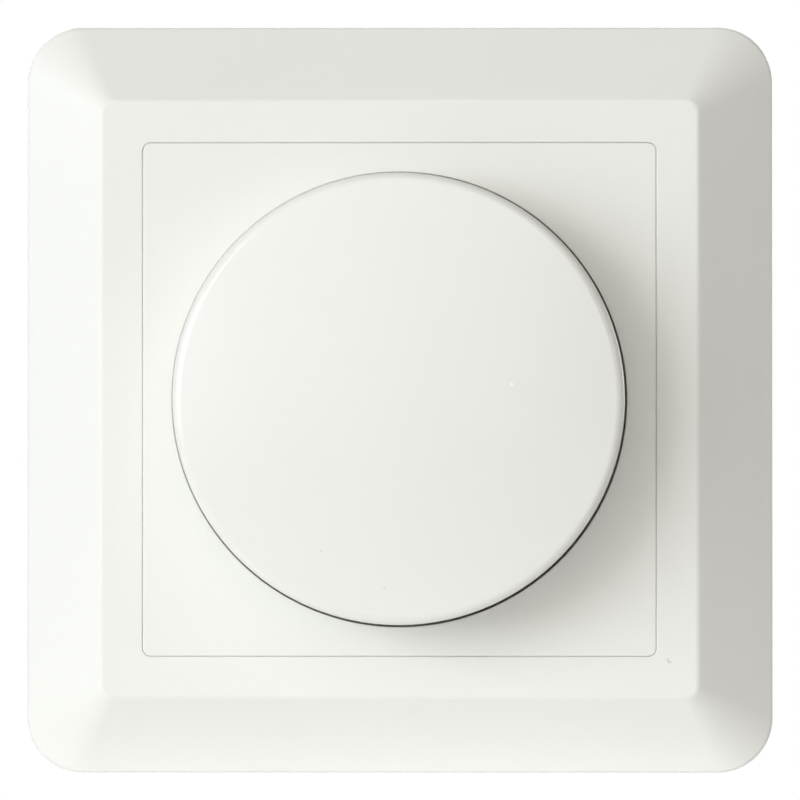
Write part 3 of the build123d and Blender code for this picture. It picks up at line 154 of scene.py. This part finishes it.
# Return spring under the push knob
SPRING_WIRE = 0.5 * MM
SPRING_CLOSED_PITCH = 1.04 * SPRING_WIRE
SPRING_TURNS = 6.0
SPRING_STEPS = 36
SPRING_SIDES = 10

# Room and floor
AMBIENT = 0.1535
AMBIENT_COLOUR = (1.0, 0.912, 0.826)
WHITE = (1.0, 1.0, 1.0)
FLOOR = (0.80, 0.80, 0.80)
FLOOR_SHADE = (0.785, 0.785, 0.783)
FLOOR_LEVEL = -62.0 * MM
FLOOR_REACH = 1.6
FLOOR_BACK = 0.24
FLOOR_LIFT = 0.72
FLOOR_FADE = (0.15, 0.8)

# Soft boxes aimed at the middle of the part: name, place, width, height, watts, colour
KEY_COLOUR = (0.938, 1.0, 1.036)
FILL_COLOUR = (1.0, 0.950, 0.900)
LAMPS = (
    ("key_left", (-0.95, -0.888, 0.057), 1.14, 0.975, 16.6, KEY_COLOUR),
    ("front_fill", (-0.30, -1.40, 0.52), 1.6, 1.6, 11.0, FILL_COLOUR),
    ("low_fill", (-0.12, -1.35, -0.32), 0.7, 0.5, 3.1, FILL_COLOUR),
    ("back_fill", (0.0, 1.45, 0.65), 2.0, 1.2, 17.0, WHITE),
    ("side_fill", (1.10, 1.15, 0.30), 0.6, 0.8, 9.0, WHITE),
)

# Bounce cards close to the frame, in millimetres: name, place, aim, width, height, watts
CARDS = (
    ("low_card", (0.0, -45.0, -62.0), (0.0, 0.0, -34.0), 130.0, 30.0, 0.0118),
    ("high_card", (0.0, -45.0, 62.0), (0.0, 0.0, 34.0), 130.0, 30.0, 0.0036),
    ("edge_card", (0.0, -8.0, -46.5), (0.0, -4.0, -40.0), 90.0, 4.0, 0.0008),
)


def rgba(colour):
    """A colour with full cover."""
    return (*colour, 1.0)


def in_metres(place):
    """A place given in millimetres."""
    return [value * MM for value in place]


def add(tree, kind, **values):
    """A new node with its settings and unlinked inputs filled in."""
    made = tree.nodes.new(kind)
    for key, value in values.items():
        if hasattr(made, key):
            setattr(made, key, value)
        else:
            made.inputs[key.replace("_", " ").title()].default_value = value
    return made


def join(tree, source, target):
    """A link from an output to an input."""
    tree.links.new(source, target)


def effect(name, inputs, outputs):
    """An empty node group with named sockets."""
    group = bpy.data.node_groups.new(name, "ShaderNodeTree")
    for label, kind, value in inputs:
        socket = group.interface.new_socket(label, in_out="INPUT", socket_type="NodeSocket" + kind)
        socket.default_value = value
    for label, kind in outputs:
        group.interface.new_socket(label, in_out="OUTPUT", socket_type="NodeSocket" + kind)
    return group, group.nodes.new("NodeGroupInput").outputs, group.nodes.new("NodeGroupOutput").inputs


def object_point(tree):
    """Coordinates in metres that stay with the piece."""
    return add(tree, "ShaderNodeTexCoord").outputs["Object"]


def make_cloudy_tone():
    """Two close tones of one colour in soft patches."""
    tree, given, result = effect(
        "cloudy tone",
        [("Tone", "Color", (1, 1, 1, 1)), ("Shade", "Color", (0, 0, 0, 1)),
         ("Patches per metre", "Float", 100.0), ("Contrast", "Float", 0.5)],
        [("Colour", "Color")])
    cloud = add(tree, "ShaderNodeTexNoise", detail=4.0, roughness=0.55)
    join(tree, object_point(tree), cloud.inputs["Vector"])
    join(tree, given["Patches per metre"], cloud.inputs["Scale"])
    spread = add(tree, "ShaderNodeMath", operation="SUBTRACT")
    spread.inputs[1].default_value = 0.5
    join(tree, cloud.outputs["Fac"], spread.inputs[0])
    gain = add(tree, "ShaderNodeMath", operation="MULTIPLY_ADD", use_clamp=True)
    gain.inputs[2].default_value = 0.5
    join(tree, spread.outputs[0], gain.inputs[0])
    join(tree, given["Contrast"], gain.inputs[1])
    blend = add(tree, "ShaderNodeMix", data_type="RGBA")
    join(tree, gain.outputs[0], blend.inputs["Factor"])
    join(tree, given["Tone"], blend.inputs[6])
    join(tree, given["Shade"], blend.inputs[7])
    join(tree, blend.outputs[2], result["Colour"])
    return tree


def make_drifting_gloss():
    """Roughness that wanders between two values."""
    tree, given, result = effect(
        "drifting gloss",
        [("Smoothest", "Float", 0.2), ("Roughest", "Float", 0.3), ("Patches per metre", "Float", 200.0)],
        [("Roughness", "Float")])
    cloud = add(tree, "ShaderNodeTexNoise", detail=5.0, roughness=0.6)
    join(tree, object_point(tree), cloud.inputs["Vector"])
    join(tree, given["Patches per metre"], cloud.inputs["Scale"])
    spread = add(tree, "ShaderNodeMapRange")
    spread.inputs["From Min"].default_value = 0.3
    spread.inputs["From Max"].default_value = 0.7
    join(tree, cloud.outputs["Fac"], spread.inputs["Value"])
    join(tree, given["Smoothest"], spread.inputs["To Min"])
    join(tree, given["Roughest"], spread.inputs["To Max"])
    join(tree, spread.outputs["Result"], result["Roughness"])
    return tree


def make_skin_texture():
    """Fine height of a moulded or etched skin."""
    tree, given, result = effect(
        "skin texture",
        [("Grains per metre", "Float", 4000.0), ("Softness", "Float", 0.5)],
        [("Height", "Float")])
    grain = add(tree, "ShaderNodeTexNoise", detail=3.0)
    join(tree, object_point(tree), grain.inputs["Vector"])
    join(tree, given["Grains per metre"], grain.inputs["Scale"])
    join(tree, given["Softness"], grain.inputs["Roughness"])
    join(tree, grain.outputs["Fac"], result["Height"])
    return tree


def make_rubbed_edges():
    """Mask that is 1 on the corners of a piece."""
    tree, given, result = effect(
        "rubbed edges",
        [("Reach", "Float", 0.0003), ("Breaks per metre", "Float", 900.0)],
        [("Mask", "Float")])
    rounded = add(tree, "ShaderNodeBevel", samples=4)
    join(tree, given["Reach"], rounded.inputs["Radius"])
    own = add(tree, "ShaderNodeNewGeometry")
    turn = add(tree, "ShaderNodeVectorMath", operation="DOT_PRODUCT")
    join(tree, rounded.outputs["Normal"], turn.inputs[0])
    join(tree, own.outputs["Normal"], turn.inputs[1])
    edge = add(tree, "ShaderNodeMapRange")
    edge.inputs["From Min"].default_value = 0.98
    edge.inputs["From Max"].default_value = 0.75
    join(tree, turn.outputs["Value"], edge.inputs["Value"])
    breaks = add(tree, "ShaderNodeTexNoise", detail=3.0)
    join(tree, object_point(tree), breaks.inputs["Vector"])
    join(tree, given["Breaks per metre"], breaks.inputs["Scale"])
    worn = add(tree, "ShaderNodeMath", operation="MULTIPLY", use_clamp=True)
    join(tree, edge.outputs["Result"], worn.inputs[0])
    join(tree, breaks.outputs["Fac"], worn.inputs[1])
    join(tree, worn.outputs[0], result["Mask"])
    return tree


def make_dust_and_painted_shade():
    """Mask of settled dust and painted shade, which grows in gaps and inside corners where ambient
    occlusion is low.
    """
    tree, given, result = effect(
        "settled dust",
        [("Reach", "Float", 0.002), ("Amount", "Float", 0.2)],
        [("Mask", "Float")])
    open_sky = add(tree, "ShaderNodeAmbientOcclusion", samples=4)
    join(tree, given["Reach"], open_sky.inputs["Distance"])
    hidden = add(tree, "ShaderNodeMapRange")
    hidden.inputs["From Min"].default_value = 0.75
    hidden.inputs["From Max"].default_value = 0.15
    join(tree, open_sky.outputs["AO"], hidden.inputs["Value"])
    share = add(tree, "ShaderNodeMath", operation="MULTIPLY", use_clamp=True)
    join(tree, hidden.outputs["Result"], share.inputs[0])
    join(tree, given["Amount"], share.inputs[1])
    join(tree, share.outputs[0], result["Mask"])
    return tree


def make_round_mark():
    """Mask of one small round mark."""
    tree, given, result = effect(
        "round mark",
        [("Centre", "Vector", (0, 0, 0)), ("Radius", "Float", 0.0002), ("Strength", "Float", 1.0)],
        [("Mask", "Float")])
    gap = add(tree, "ShaderNodeVectorMath", operation="DISTANCE")
    join(tree, object_point(tree), gap.inputs[0])
    join(tree, given["Centre"], gap.inputs[1])
    share = add(tree, "ShaderNodeMath", operation="DIVIDE")
    join(tree, gap.outputs["Value"], share.inputs[0])
    join(tree, given["Radius"], share.inputs[1])
    spot = add(tree, "ShaderNodeMapRange", interpolation_type="SMOOTHSTEP")
    spot.inputs["From Min"].default_value = 1.25
    spot.inputs["From Max"].default_value = 0.65
    join(tree, share.outputs[0], spot.inputs["Value"])
    weighed = add(tree, "ShaderNodeMath", operation="MULTIPLY")
    join(tree, spot.outputs["Result"], weighed.inputs[0])
    join(tree, given["Strength"], weighed.inputs[1])
    join(tree, weighed.outputs[0], result["Mask"])
    return tree


def make_drawn_lines():
    """Fine lines left by rolling or drawing, along the axis with the smallest stretch."""
    tree, given, result = effect(
        "drawn lines",
        [("Stretch", "Vector", (200.0, 9000.0, 9000.0)), ("Contrast", "Float", 1.0)],
        [("Lines", "Float")])
    place = add(tree, "ShaderNodeVectorMath", operation="MULTIPLY")
    join(tree, object_point(tree), place.inputs[0])
    join(tree, given["Stretch"], place.inputs[1])
    lines = add(tree, "ShaderNodeTexNoise", detail=3.0)
    lines.inputs["Scale"].default_value = 1.0
    join(tree, place.outputs["Vector"], lines.inputs["Vector"])
    spread = add(tree, "ShaderNodeMath", operation="SUBTRACT")
    spread.inputs[1].default_value = 0.5
    join(tree, lines.outputs["Fac"], spread.inputs[0])
    gain = add(tree, "ShaderNodeMath", operation="MULTIPLY_ADD", use_clamp=True)
    gain.inputs[2].default_value = 0.5
    join(tree, spread.outputs[0], gain.inputs[0])
    join(tree, given["Contrast"], gain.inputs[1])
    join(tree, gain.outputs[0], result["Lines"])
    return tree


def make_softened_corners():
    """Normal that rounds off the corners of a piece."""
    tree, given, result = effect(
        "softened corners",
        [("Radius", "Float", 0.0002)],
        [("Normal", "Vector")])
    rounded = add(tree, "ShaderNodeBevel", samples=6)
    join(tree, given["Radius"], rounded.inputs["Radius"])
    join(tree, rounded.outputs["Normal"], result["Normal"])
    return tree


CLOUDY_TONE = make_cloudy_tone()
DRIFTING_GLOSS = make_drifting_gloss()
SKIN_TEXTURE = make_skin_texture()
RUBBED_EDGES = make_rubbed_edges()
DUST_AND_PAINTED_SHADE = make_dust_and_painted_shade()
ROUND_MARK = make_round_mark()
DRAWN_LINES = make_drawn_lines()
SOFTENED_CORNERS = make_softened_corners()


def use(tree, group, **values):
    """An effect placed in a material, with its inputs set."""
    made = tree.nodes.new("ShaderNodeGroup")
    made.node_tree = group
    for key, value in values.items():
        made.inputs[key.replace("_", " ").capitalize()].default_value = value
    return made


def blend_colours(tree, mask, under, over):
    """The colour under, covered by a plain colour where the mask is 1."""
    blend = add(tree, "ShaderNodeMix", data_type="RGBA")
    join(tree, mask, blend.inputs["Factor"])
    join(tree, under, blend.inputs[6])
    blend.inputs[7].default_value = rgba(over)
    return blend.outputs[2]


def new_finish(name):
    """An empty material with its shader and output."""
    finish = bpy.data.materials.new(name)
    finish.use_nodes = True
    tree = finish.node_tree
    shader = next(item for item in tree.nodes if item.type == "BSDF_PRINCIPLED")
    return finish, tree, shader


def lay_bump(tree, shader, height, depth):
    """Fine relief on a finish, from heights between 0 and 1."""
    bump = add(tree, "ShaderNodeBump")
    bump.inputs["Strength"].default_value = 1.0
    bump.inputs["Distance"].default_value = depth
    join(tree, height, bump.inputs["Height"])
    join(tree, bump.outputs["Normal"], shader.inputs["Normal"])
    return bump


def lay_skin(tree, shader, grains, softness, depth, edge_round=0.0):
    """Fine moulded skin on a finish, over corners softened by edge_round."""
    skin = use(tree, SKIN_TEXTURE, grains_per_metre=grains, softness=softness)
    bump = lay_bump(tree, shader, skin.outputs["Height"], depth)
    if edge_round:
        softened = use(tree, SOFTENED_CORNERS, radius=edge_round)
        join(tree, softened.outputs["Normal"], bump.inputs["Normal"])


def lay_tone(tree, tone, shade, patches, contrast):
    """Colour of a finish, in two close tones."""
    return use(tree, CLOUDY_TONE, tone=rgba(tone), shade=rgba(shade), patches_per_metre=patches,
               contrast=contrast).outputs["Colour"]


def lay_gloss(tree, shader, smoothest, roughest, patches):
    """Roughness of a finish, between two values."""
    gloss = use(tree, DRIFTING_GLOSS, smoothest=smoothest, roughest=roughest, patches_per_metre=patches)
    join(tree, gloss.outputs["Roughness"], shader.inputs["Roughness"])


def lay_worn_corners(tree, colour, reach, worn):
    """The colour of a finish, with another colour on its corners."""
    edges = use(tree, RUBBED_EDGES, reach=reach)
    return blend_colours(tree, edges.outputs["Mask"], colour, worn)


def spot(tree, place, radius, strength):
    """Mask of a round mark, placed in millimetres."""
    mark = use(tree, ROUND_MARK, centre=in_metres(place), radius=radius * MM, strength=strength)
    return mark.outputs["Mask"]


def land_crescent(tree):
    """Mask of the crescent on the land of the frame."""
    x, y, z = LAND_MARK
    shifted = (x + LAND_MARK_SHIFT, y, z + LAND_MARK_SHIFT)
    moon = add(tree, "ShaderNodeMath", operation="SUBTRACT", use_clamp=True)
    join(tree, spot(tree, LAND_MARK, LAND_MARK_RADIUS, LAND_MARK_STRENGTH), moon.inputs[0])
    join(tree, spot(tree, shifted, LAND_MARK_RADIUS, LAND_MARK_STRENGTH), moon.inputs[1])
    return moon.outputs[0]


def white_gloss(name, smoothest, roughest, shine, edge_round=0.0, marks=(), crescent=False):
    """Warm white plastic of the front, with settled dust and painted shade darkening its gaps and inside
    corners.
    """
    finish, tree, shader = new_finish(name)
    colour = lay_tone(tree, WARM_WHITE, WARM_WHITE_SHADE, patches=45.0, contrast=1.2)
    # Settled dust and painted shade: gaps and inside corners darkened by ambient occlusion
    dust_and_shade = use(tree, DUST_AND_PAINTED_SHADE, reach=1.2 * MM, amount=0.16)
    colour = blend_colours(tree, dust_and_shade.outputs["Mask"], colour, DUST_AND_SHADE)
    for place, radius, over, strength in marks:
        colour = blend_colours(tree, spot(tree, place, radius, strength), colour, over)
    if crescent:
        colour = blend_colours(tree, land_crescent(tree), colour, BLEMISH_GREY)
    join(tree, colour, shader.inputs["Base Color"])
    lay_gloss(tree, shader, smoothest, roughest, patches=160.0)
    lay_skin(tree, shader, grains=1500.0, softness=0.45, depth=0.6e-6, edge_round=edge_round)
    shader.inputs["IOR"].default_value = REFRACTION
    shader.inputs["Specular IOR Level"].default_value = shine
    return finish


def moulded_plastic(name, colours, smoothest, roughest, grains, depth):
    """Plain technical plastic with a fine skin and paler corners."""
    finish, tree, shader = new_finish(name)
    tone, shade, worn = colours
    colour = lay_tone(tree, tone, shade, patches=130.0, contrast=1.6)
    colour = lay_worn_corners(tree, colour, 0.25 * MM, worn)
    join(tree, colour, shader.inputs["Base Color"])
    lay_gloss(tree, shader, smoothest, roughest, patches=350.0)
    lay_skin(tree, shader, grains, softness=0.6, depth=depth)
    return finish


def plain_metal(name, colours, smoothest, roughest, stretch, contrast, depth):
    """Bare or plated metal with drawn lines, blotches and brighter corners."""
    finish, tree, shader = new_finish(name)
    tone, shade, worn = colours
    colour = lay_tone(tree, tone, shade, patches=170.0, contrast=2.2)
    colour = lay_worn_corners(tree, colour, 0.2 * MM, worn)
    join(tree, colour, shader.inputs["Base Color"])
    shader.inputs["Metallic"].default_value = 1.0
    lines = use(tree, DRAWN_LINES, stretch=stretch, contrast=contrast)
    spread = add(tree, "ShaderNodeMapRange")
    spread.inputs["To Min"].default_value = smoothest
    spread.inputs["To Max"].default_value = roughest
    join(tree, lines.outputs["Lines"], spread.inputs["Value"])
    join(tree, spread.outputs["Result"], shader.inputs["Roughness"])
    lay_bump(tree, shader, lines.outputs["Lines"], depth)
    return finish


def glass_tube(name):
    """Clear glass with faint patches."""
    finish, tree, shader = new_finish(name)
    colour = lay_tone(tree, GLASS, GLASS_SHADE, patches=300.0, contrast=1.0)
    join(tree, colour, shader.inputs["Base Color"])
    lay_gloss(tree, shader, smoothest=0.02, roughest=0.06, patches=500.0)
    lay_skin(tree, shader, grains=900.0, softness=0.5, depth=1e-6)
    shader.inputs["Transmission Weight"].default_value = 1.0
    shader.inputs["IOR"].default_value = REFRACTION
    return finish


# The knob stays smoother than the frame and plate, which would mirror the edge of the key lamp
FINISH_OF_FRONT = {
    "cover_frame": white_gloss("white_gloss_frame", smoothest=0.36, roughest=0.42, shine=0.28,
                               edge_round=0.22 * MM, crescent=True),
    "centre_plate": white_gloss("white_gloss_plate", smoothest=0.36, roughest=0.42, shine=0.28,
                                edge_round=0.15 * MM),
    "rotary_knob": white_gloss("white_gloss_knob", smoothest=0.20, roughest=0.26, shine=0.5,
                               marks=KNOB_FACE_MARKS),
}
FINISH_OF_SLOT = {row[0]: moulded_plastic(*row) for row in PLASTICS}
FINISH_OF_SLOT.update({row[0]: plain_metal(*row) for row in METALS})
FINISH_OF_SLOT["fuse_glass"] = glass_tube("fuse_glass")


def dress_nodes():
    """Gives each CAD node its finish."""
    for name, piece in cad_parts.items():
        own_slot = piece.material_slots[0].material.name
        finish = FINISH_OF_FRONT.get(name) or FINISH_OF_SLOT[own_slot]
        piece.material_slots[0].material = finish


def new_piece(name, corners, faces, finish):
    """A mesh object with outward faces, smooth up to the sharp angle."""
    shape = bmesh.new()
    made = [shape.verts.new(corner) for corner in corners]
    for face in faces:
        shape.faces.new([made[number] for number in face])
    bmesh.ops.recalc_face_normals(shape, faces=shape.faces)
    mesh = bpy.data.meshes.new(name)
    shape.to_mesh(mesh)
    shape.free()
    for polygon in mesh.polygons:
        polygon.use_smooth = True
    mesh.set_sharp_from_angle(angle=math.radians(SHARP_ANGLE))
    mesh.materials.append(finish)
    piece = bpy.data.objects.new(name, mesh)
    bpy.context.scene.collection.objects.link(piece)
    return piece


def add_ring(corners, axis, level, spokes):
    """Adds corners round an axis along Y, one for each (angle, reach), and returns their numbers."""
    first = len(corners)
    for angle, reach in spokes:
        corners.append((axis[0] + reach * math.cos(angle), level, axis[1] + reach * math.sin(angle)))
    return list(range(first, len(corners)))


def bridge_rings(faces, near, far):
    """Quads between two closed rings."""
    for step in range(len(near)):
        after = (step + 1) % len(near)
        faces.append((near[step], near[after], far[after], far[step]))


def thread_height(turns, along, length):
    """0 at the root of the thread and 1 on its crest, running out at both ends."""
    wave = 1.0 - abs(2.0 * (turns % 1.0) - 1.0)
    flank = min(max((wave - THREAD_ROOT) / THREAD_FLANK, 0.0), 1.0)
    return flank * min(1.0, along / THREAD_RUN_OUT, (length - along) / THREAD_RUN_OUT)


def add_thread(corners, faces, axis, start, length):
    """Threaded shank from start along +Y, with a bevelled tip."""
    core = SCREW_RADIUS - THREAD_DEPTH
    angles = [2.0 * math.pi * step / RING_STEPS for step in range(RING_STEPS)]
    rows = round(length / THREAD_PITCH * THREAD_ROWS)
    rings = []
    for row in range(rows + 1):
        along = length * row / rows
        spokes = []
        for angle in angles:
            turns = along / THREAD_PITCH - angle / (2.0 * math.pi)
            spokes.append((angle, core + THREAD_DEPTH * thread_height(turns, along, length)))
        rings.append(add_ring(corners, axis, start + along, spokes))
    bevel = THREAD_DEPTH
    tip = [(angle, core - bevel) for angle in angles]
    for number in rings[-1]:
        corners[number] = (corners[number][0], corners[number][1] - bevel, corners[number][2])
    rings.append(add_ring(corners, axis, start + length, tip))
    for near, far in zip(rings, rings[1:]):
        bridge_rings(faces, near, far)
    faces.append(rings[0])
    faces.append(rings[-1])


def land_angles(reach, turn, steps):
    """Angles of the half of a ring that lies beside the slot."""
    edge = math.asin(SCREW_SLOT_HALF / reach)
    return [turn + edge + (math.pi - 2.0 * edge) * step / steps for step in range(steps + 1)]


def add_slotted_head(corners, faces, axis, under, top, radius):
    """Round screw head that faces -Y, with a straight slot across it."""
    steps = RING_STEPS // 2
    floor_level = top + SCREW_SLOT_DEPTH
    edge = math.asin(SCREW_SLOT_HALF / radius)
    gap = [-edge + 2.0 * edge * step / SCREW_SLOT_STEPS for step in range(1, SCREW_SLOT_STEPS)]
    angles = []
    for turn in (0.0, math.pi):
        angles += [turn + angle for angle in gap]
        angles += land_angles(radius, turn, steps)
    spokes = [(angle, radius) for angle in angles]
    low = add_ring(corners, axis, under, spokes)
    floor = add_ring(corners, axis, floor_level, spokes)
    bridge_rings(faces, low, floor)
    faces.append(low)
    half = len(angles) // 2
    slot_outline = []
    for side, turn in enumerate((0.0, math.pi)):
        first = side * half
        slot_outline += [floor[first - 1]] + floor[first:first + SCREW_SLOT_STEPS]
        rows = [floor[first + SCREW_SLOT_STEPS - 1:first + half]]
        for bend in SCREW_HEAD_BENDS:
            tilt = math.radians(bend)
            reach = radius - SCREW_HEAD_ROUND * (1.0 - math.cos(tilt))
            level = top + SCREW_HEAD_ROUND * (1.0 - math.sin(tilt))
            spokes = [(angle, reach) for angle in land_angles(reach, turn, steps)]
            rows.append(add_ring(corners, axis, level, spokes))
        for near, far in zip(rows, rows[1:]):
            for step in range(steps):
                faces.append((near[step], near[step + 1], far[step + 1], far[step]))
        faces.append(rows[-1])
        faces.append([row[0] for row in rows] + [row[-1] for row in reversed(rows)])
    faces.append(slot_outline)


def lay_claw_screw(node):
    """Threaded, slotted screw in place of its plain node."""
    low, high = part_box(node)
    axis = ((low.x + high.x) / 2.0, (low.z + high.z) / 2.0)
    corners = []
    faces = []
    under = low.y + SCREW_HEAD_HEIGHT
    add_slotted_head(corners, faces, axis, under, low.y, (high.x - low.x) / 2.0)
    start = under - THREAD_IN_HEAD
    add_thread(corners, faces, axis, start, high.y - start)
    screw = new_piece("threaded_" + node, corners, faces, FINISH_OF_SLOT["bright_steel"])
    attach(screw, node)
    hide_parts(node)


def coil_share(turn, height):
    """Share of the spring's height reached after some turns, with closed coils at both ends."""
    end = SPRING_CLOSED_PITCH / height
    if turn < 1.0:
        return end * turn
    if turn > SPRING_TURNS - 1.0:
        return 1.0 - end * (SPRING_TURNS - turn)
    return end + (1.0 - 2.0 * end) * (turn - 1.0) / (SPRING_TURNS - 2.0)


def lay_push_spring():
    """Wound spring with closed ends, under the push knob."""
    low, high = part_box("push_spring")
    middle = (low + high) / 2.0
    coil = (high.x - low.x - SPRING_WIRE) / 2.0
    height = high.y - low.y - SPRING_WIRE
    corners = []
    faces = []
    rings = []
    count = round(SPRING_TURNS * SPRING_STEPS)
    for step in range(count + 1):
        turn = step / SPRING_STEPS
        angle = 2.0 * math.pi * turn
        outward = Vector((math.cos(angle), 0.0, math.sin(angle)))
        level = low.y + SPRING_WIRE / 2.0 + height * coil_share(turn, height)
        centre = Vector((middle.x, level, middle.z)) + coil * outward
        ring = []
        for side in range(SPRING_SIDES):
            tilt = 2.0 * math.pi * side / SPRING_SIDES
            ring.append(len(corners))
            across = outward * math.cos(tilt) + Vector((0.0, math.sin(tilt), 0.0))
            corners.append(centre + across * SPRING_WIRE / 2.0)
        rings.append(ring)
    for near, far in zip(rings, rings[1:]):
        bridge_rings(faces, near, far)
    faces.append(rings[0])
    faces.append(rings[-1])
    spring = new_piece("wound_push_spring", corners, faces, FINISH_OF_SLOT["spring_steel"])
    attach(spring, "insert")
    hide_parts("push_spring")
    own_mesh(spring)


def seen_directly(tree):
    """1 for rays from the camera, a mirror or glass."""
    path = add(tree, "ShaderNodeLightPath")
    first = add(tree, "ShaderNodeMath", operation="MAXIMUM")
    join(tree, path.outputs["Is Camera Ray"], first.inputs[0])
    join(tree, path.outputs["Is Glossy Ray"], first.inputs[1])
    both = add(tree, "ShaderNodeMath", operation="MAXIMUM")
    join(tree, first.outputs[0], both.inputs[0])
    join(tree, path.outputs["Is Transmission Ray"], both.inputs[1])
    return both.outputs[0]


def light_room():
    """Even light from all round, white where it is seen."""
    world = bpy.data.worlds.new("studio")
    world.use_nodes = True
    tree = world.node_tree
    tree.nodes.clear()
    dim = add(tree, "ShaderNodeBackground")
    dim.inputs["Color"].default_value = rgba(AMBIENT_COLOUR)
    dim.inputs["Strength"].default_value = AMBIENT
    bright = add(tree, "ShaderNodeBackground")
    bright.inputs["Color"].default_value = rgba(WHITE)
    bright.inputs["Strength"].default_value = 1.0
    choice = add(tree, "ShaderNodeMixShader")
    join(tree, seen_directly(tree), choice.inputs["Fac"])
    join(tree, dim.outputs[0], choice.inputs[1])
    join(tree, bright.outputs[0], choice.inputs[2])
    output = add(tree, "ShaderNodeOutputWorld")
    join(tree, choice.outputs[0], output.inputs["Surface"])
    bpy.context.scene.world = world


def lay_floor():
    """Pale floor below the held switch that fades to the white of the room."""
    mesh = bpy.data.meshes.new("floor")
    near = [(-FLOOR_REACH, -FLOOR_REACH, FLOOR_LEVEL), (FLOOR_REACH, -FLOOR_REACH, FLOOR_LEVEL)]
    far = [(FLOOR_REACH, FLOOR_BACK, FLOOR_LEVEL), (-FLOOR_REACH, FLOOR_BACK, FLOOR_LEVEL)]
    mesh.from_pydata(near + far, [], [(0, 1, 2, 3)])
    floor = bpy.data.objects.new("floor", mesh)
    bpy.context.scene.collection.objects.link(floor)
    finish = bpy.data.materials.new("pale_floor")
    finish.use_nodes = True
    tree = finish.node_tree
    tree.nodes.clear()
    matt = add(tree, "ShaderNodeBsdfDiffuse")
    tone = lay_tone(tree, FLOOR, FLOOR_SHADE, patches=4.0, contrast=1.0)
    join(tree, tone, matt.inputs["Color"])
    glow = add(tree, "ShaderNodeEmission")
    glow.inputs["Color"].default_value = rgba(WHITE)
    away = add(tree, "ShaderNodeVectorMath", operation="LENGTH")
    join(tree, object_point(tree), away.inputs[0])
    fade = add(tree, "ShaderNodeMapRange", interpolation_type="SMOOTHSTEP")
    fade.inputs["From Min"].default_value = FLOOR_FADE[0]
    fade.inputs["From Max"].default_value = FLOOR_FADE[1]
    fade.inputs["To Min"].default_value = FLOOR_LIFT
    fade.inputs["To Max"].default_value = 1.0
    join(tree, away.outputs["Value"], fade.inputs["Value"])
    share = add(tree, "ShaderNodeMath", operation="MULTIPLY")
    join(tree, fade.outputs["Result"], share.inputs[1])
    join(tree, seen_directly(tree), share.inputs[0])
    join(tree, share.outputs[0], glow.inputs["Strength"])
    both = add(tree, "ShaderNodeAddShader")
    join(tree, matt.outputs[0], both.inputs[0])
    join(tree, glow.outputs[0], both.inputs[1])
    output = add(tree, "ShaderNodeOutputMaterial")
    join(tree, both.outputs[0], output.inputs["Surface"])
    mesh.materials.append(finish)


def soft_lamp(name, place, aim, width, height, power, colour):
    """A rectangular soft box aimed at a point."""
    lamp = bpy.data.lights.new(name, "AREA")
    lamp.shape = "RECTANGLE"
    lamp.size = width
    lamp.size_y = height
    lamp.energy = power
    lamp.color = colour
    holder = bpy.data.objects.new(name, lamp)
    holder.location = place
    holder.rotation_euler = (Vector(aim) - Vector(place)).to_track_quat("-Z", "Y").to_euler()
    bpy.context.scene.collection.objects.link(holder)
    return holder


def lay_card(name, place, aim, width, height, power):
    """A bounce card that is not seen itself, measured in millimetres."""
    card = soft_lamp(name, in_metres(place), in_metres(aim), width * MM, height * MM, power, WHITE)
    card.visible_camera = False
    card.visible_glossy = False


def set_camera():
    """Camera at the photo's distance, aimed at the middle of the frame."""
    lens = bpy.data.cameras.new("front_camera")
    lens.sensor_width = SENSOR_WIDTH
    span = FRAME_WIDTH / FRAME_SHARE
    lens.lens = SENSOR_WIDTH / span * (CAMERA_DISTANCE - FRAME_EDGE_LEVEL)
    lens.dof.use_dof = False
    lens.clip_start = CAMERA_NEAR
    camera = bpy.data.objects.new("front_camera", lens)
    camera.location = (CAMERA_SIDE, -CAMERA_DISTANCE, CAMERA_RISE)
    aim = Vector((0.0, -FRAME_EDGE_LEVEL, 0.0))
    camera.rotation_euler = (aim - camera.location).to_track_quat("-Z", "Y").to_euler()
    bpy.context.scene.collection.objects.link(camera)
    bpy.context.scene.camera = camera


dress_nodes()
lay_claw_screw("claw_screw_right")
lay_claw_screw("claw_screw_left")
lay_push_spring()
light_room()
lay_floor()
for name, place, width, height, power, colour in LAMPS:
    soft_lamp(name, place, (0.0, 0.0, 0.0), width, height, power, colour)
for card in CARDS:
    lay_card(*card)
set_camera()
bpy.context.scene.view_settings.view_transform = "Standard"
